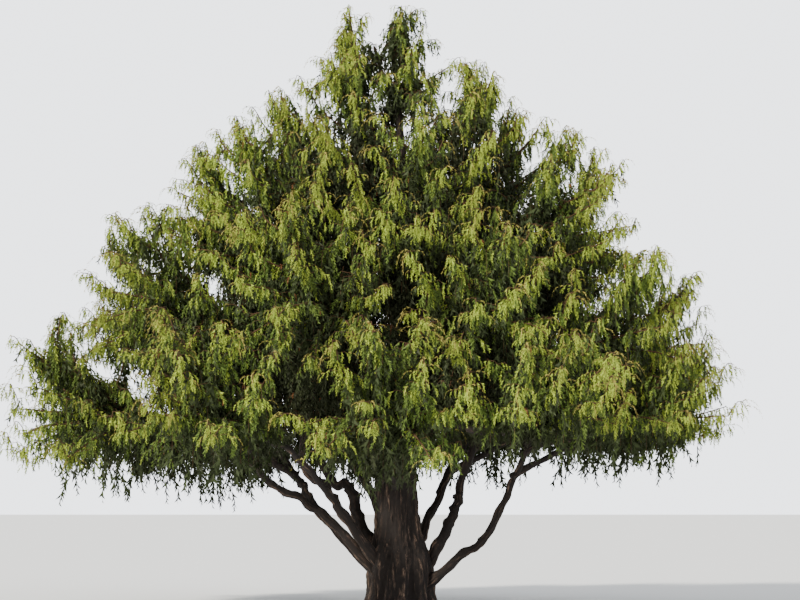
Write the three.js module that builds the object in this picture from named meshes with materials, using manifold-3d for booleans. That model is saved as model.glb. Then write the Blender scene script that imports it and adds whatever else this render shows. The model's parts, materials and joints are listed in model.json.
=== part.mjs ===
// A weeping juniper: a broad, dense evergreen tree about 9.5 m tall and 11 m wide, rooted in level ground.
// Several stems rise from one short, stout foot. They and their boughs carry masses of foliage. Every mass
// has a leader, a tent of hanging sprays under it, and twigs that leave the leader all round, with long
// sprays of needles that hang from them like the teeth of a comb. Units are millimetres. +X is to the right,
// +Y is away from the viewer, +Z is up, and the origin is the middle of the flat cut at ground level.

import * as THREE from "three";
import { mergeVertices } from "three/addons/utils/BufferGeometryUtils.js";
import Module from "manifold-3d";

const wasm = await Module();
wasm.setup();

// Wood
const TOUCH = 0.3; // gap between two pieces that meet
const CLEAR = 6; // gap between foliage and the wood that passes it
const END_GROWTH = 0.9; // a limb that is grown for a cut grows this share as much at its ends
const FOOT_SIDES = 14; // two to each flute
const TOP_SIDES = 7;
const STEM_SIDES = 6;
const BOUGH_SIDES = 4;
const LEADER_SIDES = 3;
const BOUGH_BASE_RADIUS = 58;
const LEAST_HOST_RADIUS = 42; // a limb grows only from one at least this thick
const ROOT_STRETCH = 0.15; // the share of a run over which it may touch the limb that it grows from
const BOUGH_ARCH = 0.06; // how high a bough arches, for its length
const BOUGH_END = 0.5; // where on the path the bough ends and its mass starts
const CLIMB = { low: 0.35, middle: 0.75, upper: 1.1, high: 1.3, top: 1.2 }; // the easiest slope to each tier
const CLIMB_COST = 1.5;
const HOST_STEPS = 40; // places tried along each limb that a bough could grow from
const THINNER = 0.8; // a bough's radius is at most this share of its host's
const BOUGH_TIP_RADIUS = 36;
const LEADER_TIP_RADIUS = 9;
const FLUTES = 7;
const FLUTE_DEPTH = 0.12;
const FLUTE_TWIST = 2600; // height over which the flutes turn by one radian

// Foliage
const SEED = 7;
const CELL_MARGIN = 4; // each mass stays this far inside its own space
const FLOOR_LEFT = 1850; // the lowest that sprays hang at the left edge of the crown
const FLOOR_RIGHT = 2350;
const FLOOR_FRONT = 1800; // and in the middle of the front
const GOLDEN_TURN = THREE.MathUtils.degToRad(137.5);
const TWIGS = 5;
const TWIG_STRETCH = [0.97, 0.2]; // the stretch of the leader that twigs leave, from its tip down
const LEAST_START = 0.5; // and the lowest that it starts on the path
const TWIG_SHARE = [0.22, 0.95]; // length of the highest and lowest twig, as shares of the mass's longest
const TWIG_TURN = 0.3;
const RAGGED_TWIG = [0.85, 1.1];
const INWARD_LOSS = 0.3; // a twig that points at the trunk is shorter by this share
const TWIG_BEND = new THREE.Vector2(0.5, 0.1); // a twig rises to its bend, out and up as shares of its length
const TWIG_END = new THREE.Vector2(0.97, -0.06); // and nods from there to its end
const TOP_TOOTH = 0.55; // length of the teeth on the highest twig, as a share of the longest
const TOOTH_SPACING = 400;
const MOST_TEETH = 4;
const TOOTH_TIP = 0.55; // where a tooth's tip is, along its stretch of the twig
const END_TOOTH = 0.6; // the length of the teeth at either end of a twig, against those in the middle
const RAGGED_TOOTH = [0.8, 1.1];
const RIB_DEPTH = 75;
const RIB_THICK = 56;
const TOOTH_TIP_THICK = 18;
const SPLAY = 0.28; // how far the hanging sprays lean aside, for each unit that they hang
const SWEEP = 0.12; // and how far they lean on outwards
const SHRINK_STEPS = [1, 0.9, 0.8, 0.7, 0.6, 0.5, 0.4];
const TENT_RIBS = 10; // hanging ribs and the folds between them, in turn
const TENT_RINGS = 3;
const FOLD = 0.6; // how near the folds lie to the middle, against the ribs
const FULLNESS = 0.45; // below 1 the tent bulges, above it the tent is hollow-sided
const INWARD_REACH = 0.2; // how much further the tent reaches towards the trunk than to the other sides
const HEM_RISE = 0.22; // how far the hem rises between its points, as a share of the tent's height
const RAGGED_TENT = [0.85, 1.1];
const RAGGED_HEM = [0, 0.8]; // how much of the hem's rise its points have
const LEAST_SHARE = 0.1; // a tent's corner is drawn in to no less than this share
const SHARE_STEP = 0.03;
const FRONT_RISE = 250; // sprays hang less low at the front, so that the stems show
const FRONT_PLUME = "low_9";

const UP = new THREE.Vector3(0, 0, 1);
const at = (x, y, z) => new THREE.Vector3(x, y, z);
const bearing = (angle) => at(Math.cos(angle), Math.sin(angle), 0);
const mix = THREE.MathUtils.lerp;
const rad = THREE.MathUtils.degToRad;

// A repeatable chance from 0 to 1 for a mass, a twig and a purpose
function chance(mass, twig, purpose) {
  const s = Math.sin(mass * 127.1 + twig * 311.7 + purpose * 74.7 + SEED * 19.19) * 43758.5453;
  return s - Math.floor(s);
}

const between = (low, high, ...keys) => mix(low, high, chance(...keys));

// A smooth path through a few waypoints
const route = (points) => new THREE.CatmullRomCurve3(points, false, "catmullrom", 0.5);

function headingAt(path, t) {
  const e = 1e-4;
  return path.getPoint(Math.min(1, t + e)).sub(path.getPoint(Math.max(0, t - e))).normalize();
}

// Moves every vertex of a geometry to where place says
function bend(geometry, place) {
  const p = geometry.getAttribute("position");
  for (let i = 0; i < p.count; i++) {
    const v = place(p.getX(i), p.getY(i), p.getZ(i));
    p.setXYZ(i, v.x, v.y, v.z);
  }
  return geometry;
}

// A closed geometry as a solid: vertices at one place become one, and faces that collapsed are dropped
function solidOf(geometry) {
  geometry.deleteAttribute("normal");
  geometry.deleteAttribute("uv");
  const merged = mergeVertices(geometry, 1e-3);
  const faces = [];
  for (let i = 0; i < merged.index.count; i += 3) {
    const [a, b, c] = [0, 1, 2].map((k) => merged.index.getX(i + k));
    if (a !== b && b !== c && c !== a) faces.push(a, b, c);
  }
  const vertProperties = merged.getAttribute("position").array;
  return new wasm.Manifold(new wasm.Mesh({ numProp: 3, vertProperties, triVerts: new Uint32Array(faces) }));
}

function geometryOf(solid) {
  const { vertProperties, triVerts } = solid.getMesh();
  const geometry = new THREE.BufferGeometry();
  geometry.setAttribute("position", new THREE.BufferAttribute(new Float32Array(vertProperties), 3));
  geometry.setIndex(new THREE.BufferAttribute(new Uint32Array(triVerts), 1));
  geometry.computeVertexNormals();
  return geometry;
}

// The largest body of a solid: loose scraps are dropped and sealed hollows are filled
function largest(solid) {
  return solid.decompose().reduce((best, s) => (s.volume() > best.volume() ? s : best));
}

// A limb: a cylinder bent along the stretch of a path between two of its parameters, with a gap at its start
function limb({ path, from = 0, to = 1, steps, sides, radii, gap = 0 }, grow = 0) {
  const rings = [];
  let across = at(0.3, 0.2, 1).normalize();
  for (let i = 0; i <= steps; i++) {
    const t = mix(from, to, i / steps);
    const heading = headingAt(path, t);
    across = across.clone().addScaledVector(heading, -across.dot(heading)).normalize();
    const shift = i === 0 ? gap - END_GROWTH * grow : i === steps ? END_GROWTH * grow : 0;
    const centre = path.getPoint(t).addScaledVector(heading, shift);
    rings.push({ centre, across, other: heading.clone().cross(across) });
  }
  const [base, tip] = radii;
  return solidOf(
    bend(new THREE.CylinderGeometry(1, 1, 1, sides, steps), (x, y, z) => {
      const along = y + 0.5;
      const ring = rings[Math.round(along * steps)];
      const r = mix(base, tip, along) + grow;
      return ring.centre.clone().addScaledVector(ring.across, x * r).addScaledVector(ring.other, -z * r);
    }),
  );
}

// The trunk stands on level rings. Its foot flares, swells where the stems part, and is fluted like several
// stems grown into one; above the fork it runs on as one slim stem to the top of the crown.
const TRUNK_AXIS = [
  at(0, 0, 0),
  at(-15, 0, 800),
  at(-60, 0, 1650),
  at(-20, 0, 2350),
  at(190, 10, 3200),
  at(230, 30, 4600),
  at(70, 20, 6600),
  at(-60, 0, 8250),
];
const TRUNK_RINGS = [
  [0, 620],
  [200, 520],
  [560, 520],
  [860, 470],
  [1150, 375],
  [1650, 345],
  [2350, 300],
  [2800, 190],
  [4600, 150],
  [6600, 92],
  [8250, 44],
];
const FOOT_RINGS = 7;
const BELOW_TIP = 0.98; // where the path of the topmost leader starts on the trunk's
const FIRST_FORK = 0.3; // how far up the trunk the first bough may grow

function trunkPart(rings, sides, grow) {
  return solidOf(
    bend(new THREE.CylinderGeometry(1, 1, 1, sides, rings.length - 1), (x, y, z) => {
      const [height, radius] = rings[Math.round((y + 0.5) * (rings.length - 1))];
      const spoke = Math.atan2(-z, x);
      const angle = spoke + height / FLUTE_TWIST;
      const fluting = FLUTE_DEPTH * Math.max(0, 1 - height / rings.at(-1)[0]);
      const r = Math.hypot(x, z) * (radius * (1 + fluting * Math.cos(FLUTES * spoke)) + grow);
      return trunkAt(height).addScaledVector(bearing(angle), r);
    }),
  );
}

// The middle of the trunk at a height
function trunkAt(height) {
  const found = TRUNK_AXIS.findIndex((p) => p.z >= height);
  const above = found < 0 ? TRUNK_AXIS.length - 1 : Math.max(1, found);
  const [a, b] = [TRUNK_AXIS[above - 1], TRUNK_AXIS[above]];
  return a.clone().lerp(b, (height - a.z) / (b.z - a.z));
}

function trunkSolid(grow = 0) {
  const [height, radius] = TRUNK_RINGS.at(-1);
  const rings = [...TRUNK_RINGS.slice(0, -1), [height + grow, radius]];
  const foot = trunkPart(rings.slice(0, FOOT_RINGS + 1), FOOT_SIDES, grow);
  const top = trunkPart(rings.slice(FOOT_RINGS - 1), TOP_SIDES, grow);
  return foot.add(top);
}

// Stems that show below the crown: waypoints from the foot up, and the mass that each one runs on to
const STEMS = {
  leader_left: {
    way: [at(-60, 20, 1900), at(-330, 60, 2750), at(-600, 120, 4600)],
    radii: [185, 62],
    to: "top_1",
  },
  stem_left_low: {
    way: [at(-250, -110, 420), at(-1040, -330, 1340), at(-1530, -500, 1700), at(-2160, -720, 2210)],
    radii: [84, 46],
    to: "middle_6",
  },
  stem_left_outer: {
    way: [at(-250, 110, 420), at(-1290, 430, 1530), at(-1530, 560, 1900), at(-1760, 640, 2230)],
    radii: [88, 46],
    to: "middle_5",
  },
  stem_left_inner: {
    way: [at(-240, -170, 560), at(-890, -520, 1500), at(-1110, -680, 1870), at(-1470, -1000, 2350)],
    radii: [90, 46],
    to: "middle_7",
  },
  stem_left_thick: {
    way: [at(-170, 60, 560), at(-600, 190, 1260), at(-790, 250, 1870), at(-1230, 330, 2300)],
    radii: [125, 52],
    to: "upper_4",
  },
  stem_right_thick: {
    way: [at(230, 60, 300), at(700, 210, 1180), at(900, 330, 1660), at(1050, 420, 2230)],
    radii: [108, 52],
    to: "upper_1",
  },
  stem_right_outer: {
    way: [
      at(240, -60, 230),
      at(920, -230, 820),
      at(1280, -330, 1080),
      at(1600, -470, 1700),
      at(1840, -600, 2270),
    ],
    radii: [80, 46],
    to: "middle_9",
  },
  stem_back_left: { way: [at(-80, 200, 560), at(-420, 900, 1700)], radii: [96, 46], to: "middle_4" },
  stem_back_right: { way: [at(120, 200, 560), at(620, 860, 1750)], radii: [92, 46], to: "middle_2" },
};

// Tiers of masses from the lowest up. Tips stand on an ellipse that reaches left, right and in depth. A mass
// starts its space at its foot, back from the tip and below it, and the tip arches over or stands up. Its
// tent is as tall and sprawls as wide as it says, and its longest twig and tooth are as long as they say.
const TIERS = [
  {
    name: "low",
    count: 11,
    first: 4,
    left: 5850,
    right: 4650,
    depth: 5050,
    tipLeft: 3950,
    tipRight: 3850,
    back: 1600,
    sink: 1150,
    arch: 0,
    twig: 1800,
    tooth: 1150,
    sprawl: 1290,
    tall: 2100,
  },
  {
    name: "middle",
    count: 9,
    first: 10,
    left: 4650,
    right: 4500,
    depth: 4050,
    tipLeft: 5800,
    tipRight: 5350,
    back: 1250,
    sink: 1400,
    arch: -0.1,
    twig: 1800,
    tooth: 1150,
    sprawl: 1340,
    tall: 2600,
  },
  {
    name: "upper",
    count: 7,
    first: 14,
    left: 3250,
    right: 3200,
    depth: 2850,
    tipLeft: 7250,
    tipRight: 7250,
    back: 900,
    sink: 1500,
    arch: -0.14,
    twig: 1600,
    tooth: 1050,
    sprawl: 1180,
    tall: 2550,
  },
  {
    name: "high",
    count: 5,
    first: 26,
    left: 2150,
    right: 2200,
    depth: 1600,
    tipLeft: 8400,
    tipRight: 8150,
    back: 650,
    sink: 1350,
    arch: -0.14,
    twig: 1250,
    tooth: 850,
    sprawl: 900,
    tall: 2200,
  },
];
const TOPS = [at(-810, 60, 9500), at(-40, -80, 9360), at(1210, 180, 8640)];
const TOP_TIER = { back: 120, sink: 1150, arch: -0.05, twig: 800, tooth: 520, sprawl: 500, tall: 1650 };
const TOP_BEARING = (k) => 200 + 140 * k; // degrees
const TIER_TURN = 0.12; // how much a mass stands aside of its even place, as a share of the spacing
const TIER_REACH = [0.96, 1.03];
const TIER_LIFT = 160;
const ELBOW = 0.6; // where a mass's leader bends, from its foot to its tip
const APEX = 0.7; // where its tent starts, from the elbow to the tip

function massesOf(tier) {
  return Array.from({ length: tier.count }, (_, k) => {
    const turn = between(-TIER_TURN, TIER_TURN, k, tier.count, 1);
    const angle = rad(tier.first + (360 / tier.count) * (k + turn));
    const side = Math.cos(angle) > 0 ? tier.right : tier.left;
    const edge = 1 / Math.hypot(Math.cos(angle) / side, Math.sin(angle) / tier.depth);
    const reach = edge * between(...TIER_REACH, k, tier.count, 2);
    const height = mix(tier.tipLeft, tier.tipRight, (1 + Math.cos(angle)) / 2);
    const tip = bearing(angle).multiplyScalar(reach);
    tip.z = height + between(-TIER_LIFT, TIER_LIFT, k, tier.count, 3);
    return { ...tier, name: `${tier.name}_${k + 1}`, outward: bearing(angle), tip };
  });
}

const topMasses = TOPS.map((tip, k) => {
  return { ...TOP_TIER, name: `top_${k + 1}`, outward: bearing(rad(TOP_BEARING(k))), tip };
});
const masses = [...TIERS.flatMap(massesOf), ...topMasses].map((m, index) => {
  const foot = m.tip.clone().addScaledVector(m.outward, -m.back).setZ(m.tip.z - m.sink);
  const middle = foot.clone().lerp(m.tip, ELBOW).addScaledVector(m.outward, -m.arch * m.back);
  middle.z += m.arch * m.back;
  const apex = middle.clone().lerp(m.tip, APEX);
  const lean = (m.tip.x + TIERS[0].left) / (TIERS[0].left + TIERS[0].right);
  const rise = FRONT_RISE * Math.max(0, -m.outward.y) ** 2;
  const floor = m.name === FRONT_PLUME ? FLOOR_FRONT : mix(FLOOR_LEFT, FLOOR_RIGHT, lean) + rise;
  const hem = foot.clone().lerp(m.tip, 0.5).setZ(Math.max(m.tip.z - m.tall, floor));
  const heart = apex.clone().lerp(hem, 0.5);
  return { ...m, index, foot, middle, apex, hem, heart, floor };
});

// How far inside the space of its own mass a point lies: the space ends halfway to every other mass's heart
function room(mass, v) {
  return masses.reduce((least, other) => {
    if (other === mass) return least;
    const nearer = v.distanceToSquared(other.heart) - v.distanceToSquared(mass.heart);
    return Math.min(least, nearer / (2 * mass.heart.distanceTo(other.heart)));
  }, v.z - mass.floor);
}

function trunkRadiusAt(height) {
  const above = Math.max(1, TRUNK_RINGS.findIndex(([z]) => z >= height));
  const [[z0, r0], [z1, r1]] = [TRUNK_RINGS[above - 1], TRUNK_RINGS[above]];
  return mix(r0, r1, (height - z0) / (z1 - z0));
}

// Limbs in the order that they grow, and everything that later limbs keep clear of
const limbs = [];
const taken = [];

function addLimb(name, path, from, to, radiusOf, build) {
  const part = { name, path, from, to, radiusOf, build };
  limbs.push(part);
  taken.push({ host: part, solid: build(CLEAR) });
}

function addTube(name, spec) {
  const [base, tip] = spec.radii;
  addLimb(name, spec.path, 0, spec.to, (t) => mix(base, tip, t / spec.to), (grow) => limb(spec, grow));
}

// The leader of a mass carries on from its limb, a hair's gap away, or grows straight from the wood
function leader(mass, grow) {
  const onLimb = mass.start > 0;
  const radii = [mass.radius, LEADER_TIP_RADIUS];
  const steps = onLimb ? 3 : 5;
  const gap = onLimb ? TOUCH : 0;
  return limb({ path: mass.path, from: mass.start, steps, sides: LEADER_SIDES, radii, gap }, grow);
}

const trunkPath = route(TRUNK_AXIS);
const trunkWidth = (t) => trunkRadiusAt(trunkPath.getPoint(t).z);
addLimb("trunk", trunkPath, FIRST_FORK, 1, trunkWidth, trunkSolid);

for (const [name, { way, radii, to }] of Object.entries(STEMS)) {
  const mass = masses.find((m) => m.name === to);
  mass.path = route([...way, mass.foot, mass.middle, mass.tip]);
  mass.start = way.length / (way.length + 2);
  mass.radius = radii[1];
  addTube(name, { path: mass.path, to: mass.start, steps: 2 * way.length, sides: STEM_SIDES, radii });
  taken.push({ solid: leader(mass, CLEAR) });
}

const crown = masses.find((m) => m.name === "top_2");
crown.path = route([trunkPath.getPoint(BELOW_TIP), trunkPath.getPoint(1), crown.middle, crown.tip]);
crown.start = 1 / 3;
crown.radius = TRUNK_RINGS.at(-1)[1];
taken.push({ solid: leader(crown, CLEAR) });

// Places on the limbs from which a new one could grow to a foot, the nearest and easiest climb first
function placesFor(foot, climb) {
  const places = limbs.flatMap((host) => {
    const steps = Array.from({ length: HOST_STEPS + 1 }, (_, i) => mix(host.from, host.to, i / HOST_STEPS));
    return steps.map((t) => {
      const point = host.path.getPoint(t);
      const run = Math.hypot(foot.x - point.x, foot.y - point.y);
      const reach = Math.hypot(foot.x, foot.y);
      const aside = Math.abs(point.x * foot.y - point.y * foot.x) / reach;
      const cost = foot.distanceTo(point) + CLIMB_COST * Math.abs(foot.z - point.z - climb * run) + aside;
      const outwards = Math.hypot(point.x, point.y) < reach;
      return { host, point, cost, outwards, radius: host.radiusOf(t) };
    });
  });
  const fit = places.filter(({ radius, outwards }) => outwards && radius > LEAST_HOST_RADIUS);
  return fit.sort((a, b) => a.cost - b.cost);
}

// Whether a run is clear of all that has grown, leaving out its host over the stretch nearest its root
function runsClear(path, radius, host) {
  const root = limb({ path, to: ROOT_STRETCH, steps: 2, sides: LEADER_SIDES, radii: [radius, radius] });
  const radii = [radius, LEADER_TIP_RADIUS];
  const rest = limb({ path, from: ROOT_STRETCH, steps: 5, sides: LEADER_SIDES, radii });
  const apart = (a, b) => a.intersect(b).isEmpty();
  return taken.every((other) => {
    return (other.host === host || apart(root, other.solid)) && apart(rest, other.solid);
  });
}

for (const mass of masses.filter((m) => !m.path)) {
  const tier = mass.name.split("_")[0];
  const onBough = tier === "low" || tier === "middle";
  const tries = placesFor(mass.foot, CLIMB[tier]).map((place) => {
    const halfway = place.point.clone().lerp(mass.foot, 0.5);
    halfway.z += BOUGH_ARCH * place.point.distanceTo(mass.foot);
    return { ...place, path: route([place.point, halfway, mass.foot, mass.middle, mass.tip]) };
  });
  const widest = (place) => Math.min(BOUGH_BASE_RADIUS, place.radius);
  const best = tries.find((place) => runsClear(place.path, widest(place), place.host));
  const { path, radius, host } = best ?? tries[0];
  const base = Math.min(BOUGH_BASE_RADIUS, radius * THINNER);
  mass.path = path;
  mass.start = onBough ? BOUGH_END : 0;
  mass.radius = Math.min(BOUGH_TIP_RADIUS, base);
  const radii = [base, mass.radius];
  if (onBough) addTube(`bough_${mass.name}`, { path, to: BOUGH_END, steps: 3, sides: BOUGH_SIDES, radii });
  taken.push({ host: onBough ? undefined : host, solid: leader(mass, CLEAR) });
}

// Each limb is cut where it leaves an earlier one
const wood = [];
let grownWood = null;
for (const { name, build } of limbs) {
  const solid = grownWood ? largest(build(0).subtract(grownWood)) : build(0);
  wood.push({ name, solid });
  grownWood = grownWood ? grownWood.add(build(TOUCH)) : build(TOUCH);
}
const clearWood = limbs.map(({ build }) => build(CLEAR)).reduce((a, b) => a.add(b));
const leaders = masses.map((mass) => largest(leader(mass, 0).subtract(grownWood)));
const clearLeaders = masses.map((mass) => leader(mass, CLEAR));

// A blade in the upright plane of a twig. Its outline runs anticlockwise, and each point is so far out and up
// from the start, and has its own shift aside and thickness.
function bladeOf(start, away, points) {
  const side = away.clone().cross(UP);
  const flat = points.map(({ out, up }) => new THREE.Vector2(out, up));
  const positions = [0.5, -0.5].flatMap((half) =>
    points.flatMap(({ out, up, aside, thick }) => {
      const v = start.clone().addScaledVector(away, out).addScaledVector(UP, up);
      return v.addScaledVector(side, aside + half * thick).toArray();
    }),
  );
  const n = points.length;
  const caps = THREE.ShapeUtils.triangulateShape(flat, []);
  const faces = caps.flatMap(([a, b, c]) => [a, b, c, c + n, b + n, a + n]);
  for (let i = 0; i < n; i++) {
    const j = (i + 1) % n;
    faces.push(i + n, j + n, j, i + n, j, i);
  }
  const blade = new THREE.BufferGeometry().setIndex(faces);
  return blade.setAttribute("position", new THREE.Float32BufferAttribute(positions, 3));
}

// A comb: a twig as a flat rib, with long sprays hanging from it as teeth that lean to either side in turn
function comb(mass, { start, away, length, drop }, key) {
  const teeth = THREE.MathUtils.clamp(Math.round(length / TOOTH_SPACING), 2, MOST_TEETH);
  const point = (t, fall, lean = 0) => {
    const hang = Math.max(0, fall - RIB_DEPTH);
    const past = 2 * t - 1;
    const line = past < 0 ? TWIG_BEND.clone().multiplyScalar(2 * t) : TWIG_BEND.clone().lerp(TWIG_END, past);
    const thick = mix(RIB_THICK, TOOTH_TIP_THICK, Math.min(1, hang / drop));
    return { out: line.x * length + hang * SWEEP, up: line.y * length - fall, aside: hang * lean, thick };
  };
  const points = [point(0, 0)];
  for (let i = 0; i < teeth; i++) {
    const longest = Math.sin((Math.PI * (i + TOOTH_TIP)) / teeth);
    const fall = drop * mix(END_TOOTH, 1, longest) * between(...RAGGED_TOOTH, mass.index, key, 10 + i);
    const root = (i + 1) / teeth;
    points.push(point((i + TOOTH_TIP) / teeth, Math.max(fall, 2 * RIB_DEPTH), i % 2 ? -SPLAY : SPLAY));
    points.push(point(root, RIB_DEPTH * (1 - root / 2)));
  }
  points.push(point(1, 0), point(0.5, 0));
  return bladeOf(start, away, points);
}

// The twigs leave the leader at the golden angle: long near its foot, short near its tip
function twigFor(mass, k, shrink) {
  const low = (k + 0.5) / TWIGS;
  const start = mass.path.getPoint(mix(Math.max(mass.start, LEAST_START), 1, mix(...TWIG_STRETCH, low)));
  const turn = k * GOLDEN_TURN + between(-TWIG_TURN, TWIG_TURN, mass.index, k, 4);
  const away = mass.outward.clone().applyAxisAngle(UP, turn);
  const inward = Math.max(0, -away.dot(mass.outward));
  const ragged = between(...RAGGED_TWIG, mass.index, k, 5);
  const length = mass.twig * mix(...TWIG_SHARE, low) * (1 - INWARD_LOSS * inward) * ragged * shrink;
  const deepest = start.z - mass.floor - RIB_DEPTH;
  const drop = Math.min(mass.tooth * mix(TOP_TOOTH, 1, low), deepest) * shrink;
  return { start, away, length, drop };
}

function inside(mass, geometry) {
  const p = geometry.getAttribute("position");
  const v = at(0, 0, 0);
  for (let i = 0; i < p.count; i++) {
    if (room(mass, v.fromBufferAttribute(p, i)) < CELL_MARGIN) return false;
  }
  return true;
}

// The core of a mass is a tent under its leader, with a ragged hem and a hollow below. It is drawn in towards
// the heart wherever it would leave the mass's own space.
function tent(mass, size) {
  const ball = new THREE.SphereGeometry(1, TENT_RIBS, TENT_RINGS + 1).rotateX(Math.PI / 2);
  return bend(ball, (x, y, z) => {
    const ring = Math.round((Math.acos(THREE.MathUtils.clamp(z, -1, 1)) / Math.PI) * (TENT_RINGS + 1));
    const down = ring / TENT_RINGS;
    const angle = Math.atan2(y, x);
    const rib = (Math.round((angle / Math.PI) * (TENT_RIBS / 2)) + TENT_RIBS) % TENT_RIBS;
    const rise = HEM_RISE * (mass.apex.z - mass.hem.z);
    const point = mass.apex.clone();
    if (down > 1) {
      point.copy(mass.hem).addScaledVector(UP, rise);
    } else if (down > 0) {
      const ragged = rib % 2 ? FOLD : 1;
      const inward = Math.max(0, -bearing(angle).dot(mass.outward));
      const side = ragged * (1 + INWARD_REACH * inward) * between(...RAGGED_TENT, mass.index, rib, 6);
      point.lerp(mass.hem, down).addScaledVector(bearing(angle), mass.sprawl * side * down ** FULLNESS);
      if (down === 1) point.z += rise * (rib % 2 ? 1 : between(...RAGGED_HEM, mass.index, rib, 7));
    }
    const offset = point.sub(mass.heart).multiplyScalar(size);
    const drawnIn = (share) => mass.heart.clone().addScaledVector(offset, share);
    let share = 1;
    while (share > LEAST_SHARE && room(mass, drawnIn(share)) < CELL_MARGIN) share -= SHARE_STEP;
    return drawnIn(share);
  });
}

// Whether a solid is still one closed body once its vertices are rounded to a small step
function staysWhole(solid) {
  const { vertProperties, triVerts } = solid.getMesh();
  const closed = [1e3, 1e4].every((perUnit) => {
    const key = (v) => [0, 1, 2].map((k) => Math.round(vertProperties[3 * v + k] * perUnit)).join();
    const edges = new Set();
    for (let i = 0; i < triVerts.length; i += 3) {
      const [a, b, c] = [0, 1, 2].map((k) => key(triVerts[i + k]));
      if (a === b || b === c || c === a) continue;
      for (const edge of [`${a} ${b}`, `${b} ${c}`, `${c} ${a}`]) {
        if (edges.has(edge)) return false;
        edges.add(edge);
      }
    }
    return true;
  });
  return closed && solidOf(geometryOf(solid)).decompose().length === 1;
}

// Leader, tent and combs as one solid. A comb that leaves the mass's space or touches a limb is made
// smaller, and at last skipped.
function foliage(mass) {
  const obstacles = clearLeaders.filter((_, i) => i !== mass.index).reduce((a, b) => a.add(b), clearWood);
  let solid = leaders[mass.index];
  for (const size of SHRINK_STEPS) {
    const joined = solid.add(largest(solidOf(tent(mass, size)).subtract(obstacles)));
    const bodies = joined.decompose().filter((body) => body.volume() > 0);
    if (bodies.length > 1 || !staysWhole(largest(joined))) continue;
    solid = largest(joined);
    break;
  }
  for (let k = 0; k < TWIGS; k++) {
    for (const shrink of SHRINK_STEPS) {
      const blade = comb(mass, twigFor(mass, k, shrink), k);
      if (!inside(mass, blade)) continue;
      const tooth = solidOf(blade);
      if (!tooth.intersect(obstacles).isEmpty()) continue;
      const joined = largest(solid.add(tooth));
      if (!staysWhole(joined)) continue;
      solid = joined;
      break;
    }
  }
  return solid;
}

const BARK = { color: 0x46352b, roughness: 0.95, metalness: 0 };
const NEEDLES = { color: 0x55722a, roughness: 0.85, metalness: 0 };

function meshOf(name, solid, look) {
  const mesh = new THREE.Mesh(geometryOf(solid), new THREE.MeshStandardMaterial(look));
  mesh.name = name;
  return mesh;
}

const juniper = new THREE.Group();
for (const { name, solid } of wood) juniper.add(meshOf(name, solid, BARK));
for (const mass of masses) juniper.add(meshOf(`foliage_${mass.name}`, foliage(mass), NEEDLES));

export default juniper;
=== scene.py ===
# %% [markdown]
# # A weeping juniper
#
# This lesson dresses a packed tree model. The model holds the trunk, the stems, the boughs and 35 plain
# solids of foliage. Here the wood gets bark that stands out in fibres, and every solid of foliage is
# replaced by real arms, twigs and hanging sprays of needles that grow by the same rule. All sizes are in
# metres. +X is to the right, +Y is away from the viewer and +Z is up.

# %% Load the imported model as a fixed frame
import json
import math

import bmesh
import bpy
import numpy as np
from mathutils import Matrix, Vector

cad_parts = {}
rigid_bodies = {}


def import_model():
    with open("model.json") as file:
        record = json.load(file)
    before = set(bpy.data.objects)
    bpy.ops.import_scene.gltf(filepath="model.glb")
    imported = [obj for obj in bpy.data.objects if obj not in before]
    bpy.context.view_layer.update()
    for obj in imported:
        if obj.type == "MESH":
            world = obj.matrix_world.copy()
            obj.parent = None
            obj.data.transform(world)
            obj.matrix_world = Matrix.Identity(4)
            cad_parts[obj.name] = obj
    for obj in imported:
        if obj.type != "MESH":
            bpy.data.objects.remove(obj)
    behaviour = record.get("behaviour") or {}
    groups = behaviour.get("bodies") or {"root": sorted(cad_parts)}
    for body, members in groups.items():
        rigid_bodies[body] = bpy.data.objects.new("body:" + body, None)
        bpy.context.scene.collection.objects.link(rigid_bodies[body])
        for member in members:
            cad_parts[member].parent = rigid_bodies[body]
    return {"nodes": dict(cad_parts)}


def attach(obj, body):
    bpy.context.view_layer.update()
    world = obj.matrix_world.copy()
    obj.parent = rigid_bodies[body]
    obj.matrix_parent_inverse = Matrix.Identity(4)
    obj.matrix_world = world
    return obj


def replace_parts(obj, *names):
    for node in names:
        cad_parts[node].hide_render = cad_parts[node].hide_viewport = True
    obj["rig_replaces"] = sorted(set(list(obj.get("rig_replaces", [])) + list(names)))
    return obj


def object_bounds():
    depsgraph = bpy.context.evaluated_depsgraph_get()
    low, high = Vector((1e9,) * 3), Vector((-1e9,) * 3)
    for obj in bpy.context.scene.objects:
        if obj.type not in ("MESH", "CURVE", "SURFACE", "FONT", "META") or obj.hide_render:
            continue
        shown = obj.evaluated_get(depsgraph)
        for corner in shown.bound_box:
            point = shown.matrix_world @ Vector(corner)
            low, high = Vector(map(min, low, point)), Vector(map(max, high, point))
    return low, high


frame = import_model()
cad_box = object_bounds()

print("nodes:", len(frame["nodes"]), "box:", [round(x, 2) for corner in cad_box for x in corner])

# %% [markdown]
# ## The camera
#
# The photograph was taken with a long lens from about 31 m away, at eye height, with the camera tilted up a
# little. A long lens flattens the tree: near and far boughs look the same size. The lens is worked out from
# its focal length in pixels, so that the tree is as large in the picture as in the photograph.

# %% Camera
IMAGE_WIDTH = 800
FOCAL_PIXELS = 2000
SENSOR = 36.0  # millimetres
CAMERA_PLACE = (0.0, -31.0, 1.55)
TILT_UP = math.radians(5.94)


def new_camera():
    data = bpy.data.cameras.new("camera")
    data.sensor_width = SENSOR
    data.lens = SENSOR * FOCAL_PIXELS / IMAGE_WIDTH
    data.clip_end = 1000
    camera = bpy.data.objects.new("camera", data)
    camera.location = CAMERA_PLACE
    camera.rotation_euler = (math.pi / 2 + TILT_UP, 0, 0)
    bpy.context.scene.collection.objects.link(camera)
    return camera


bpy.context.scene.camera = new_camera()
print("lens:", bpy.context.scene.camera.data.lens, "mm")

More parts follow.
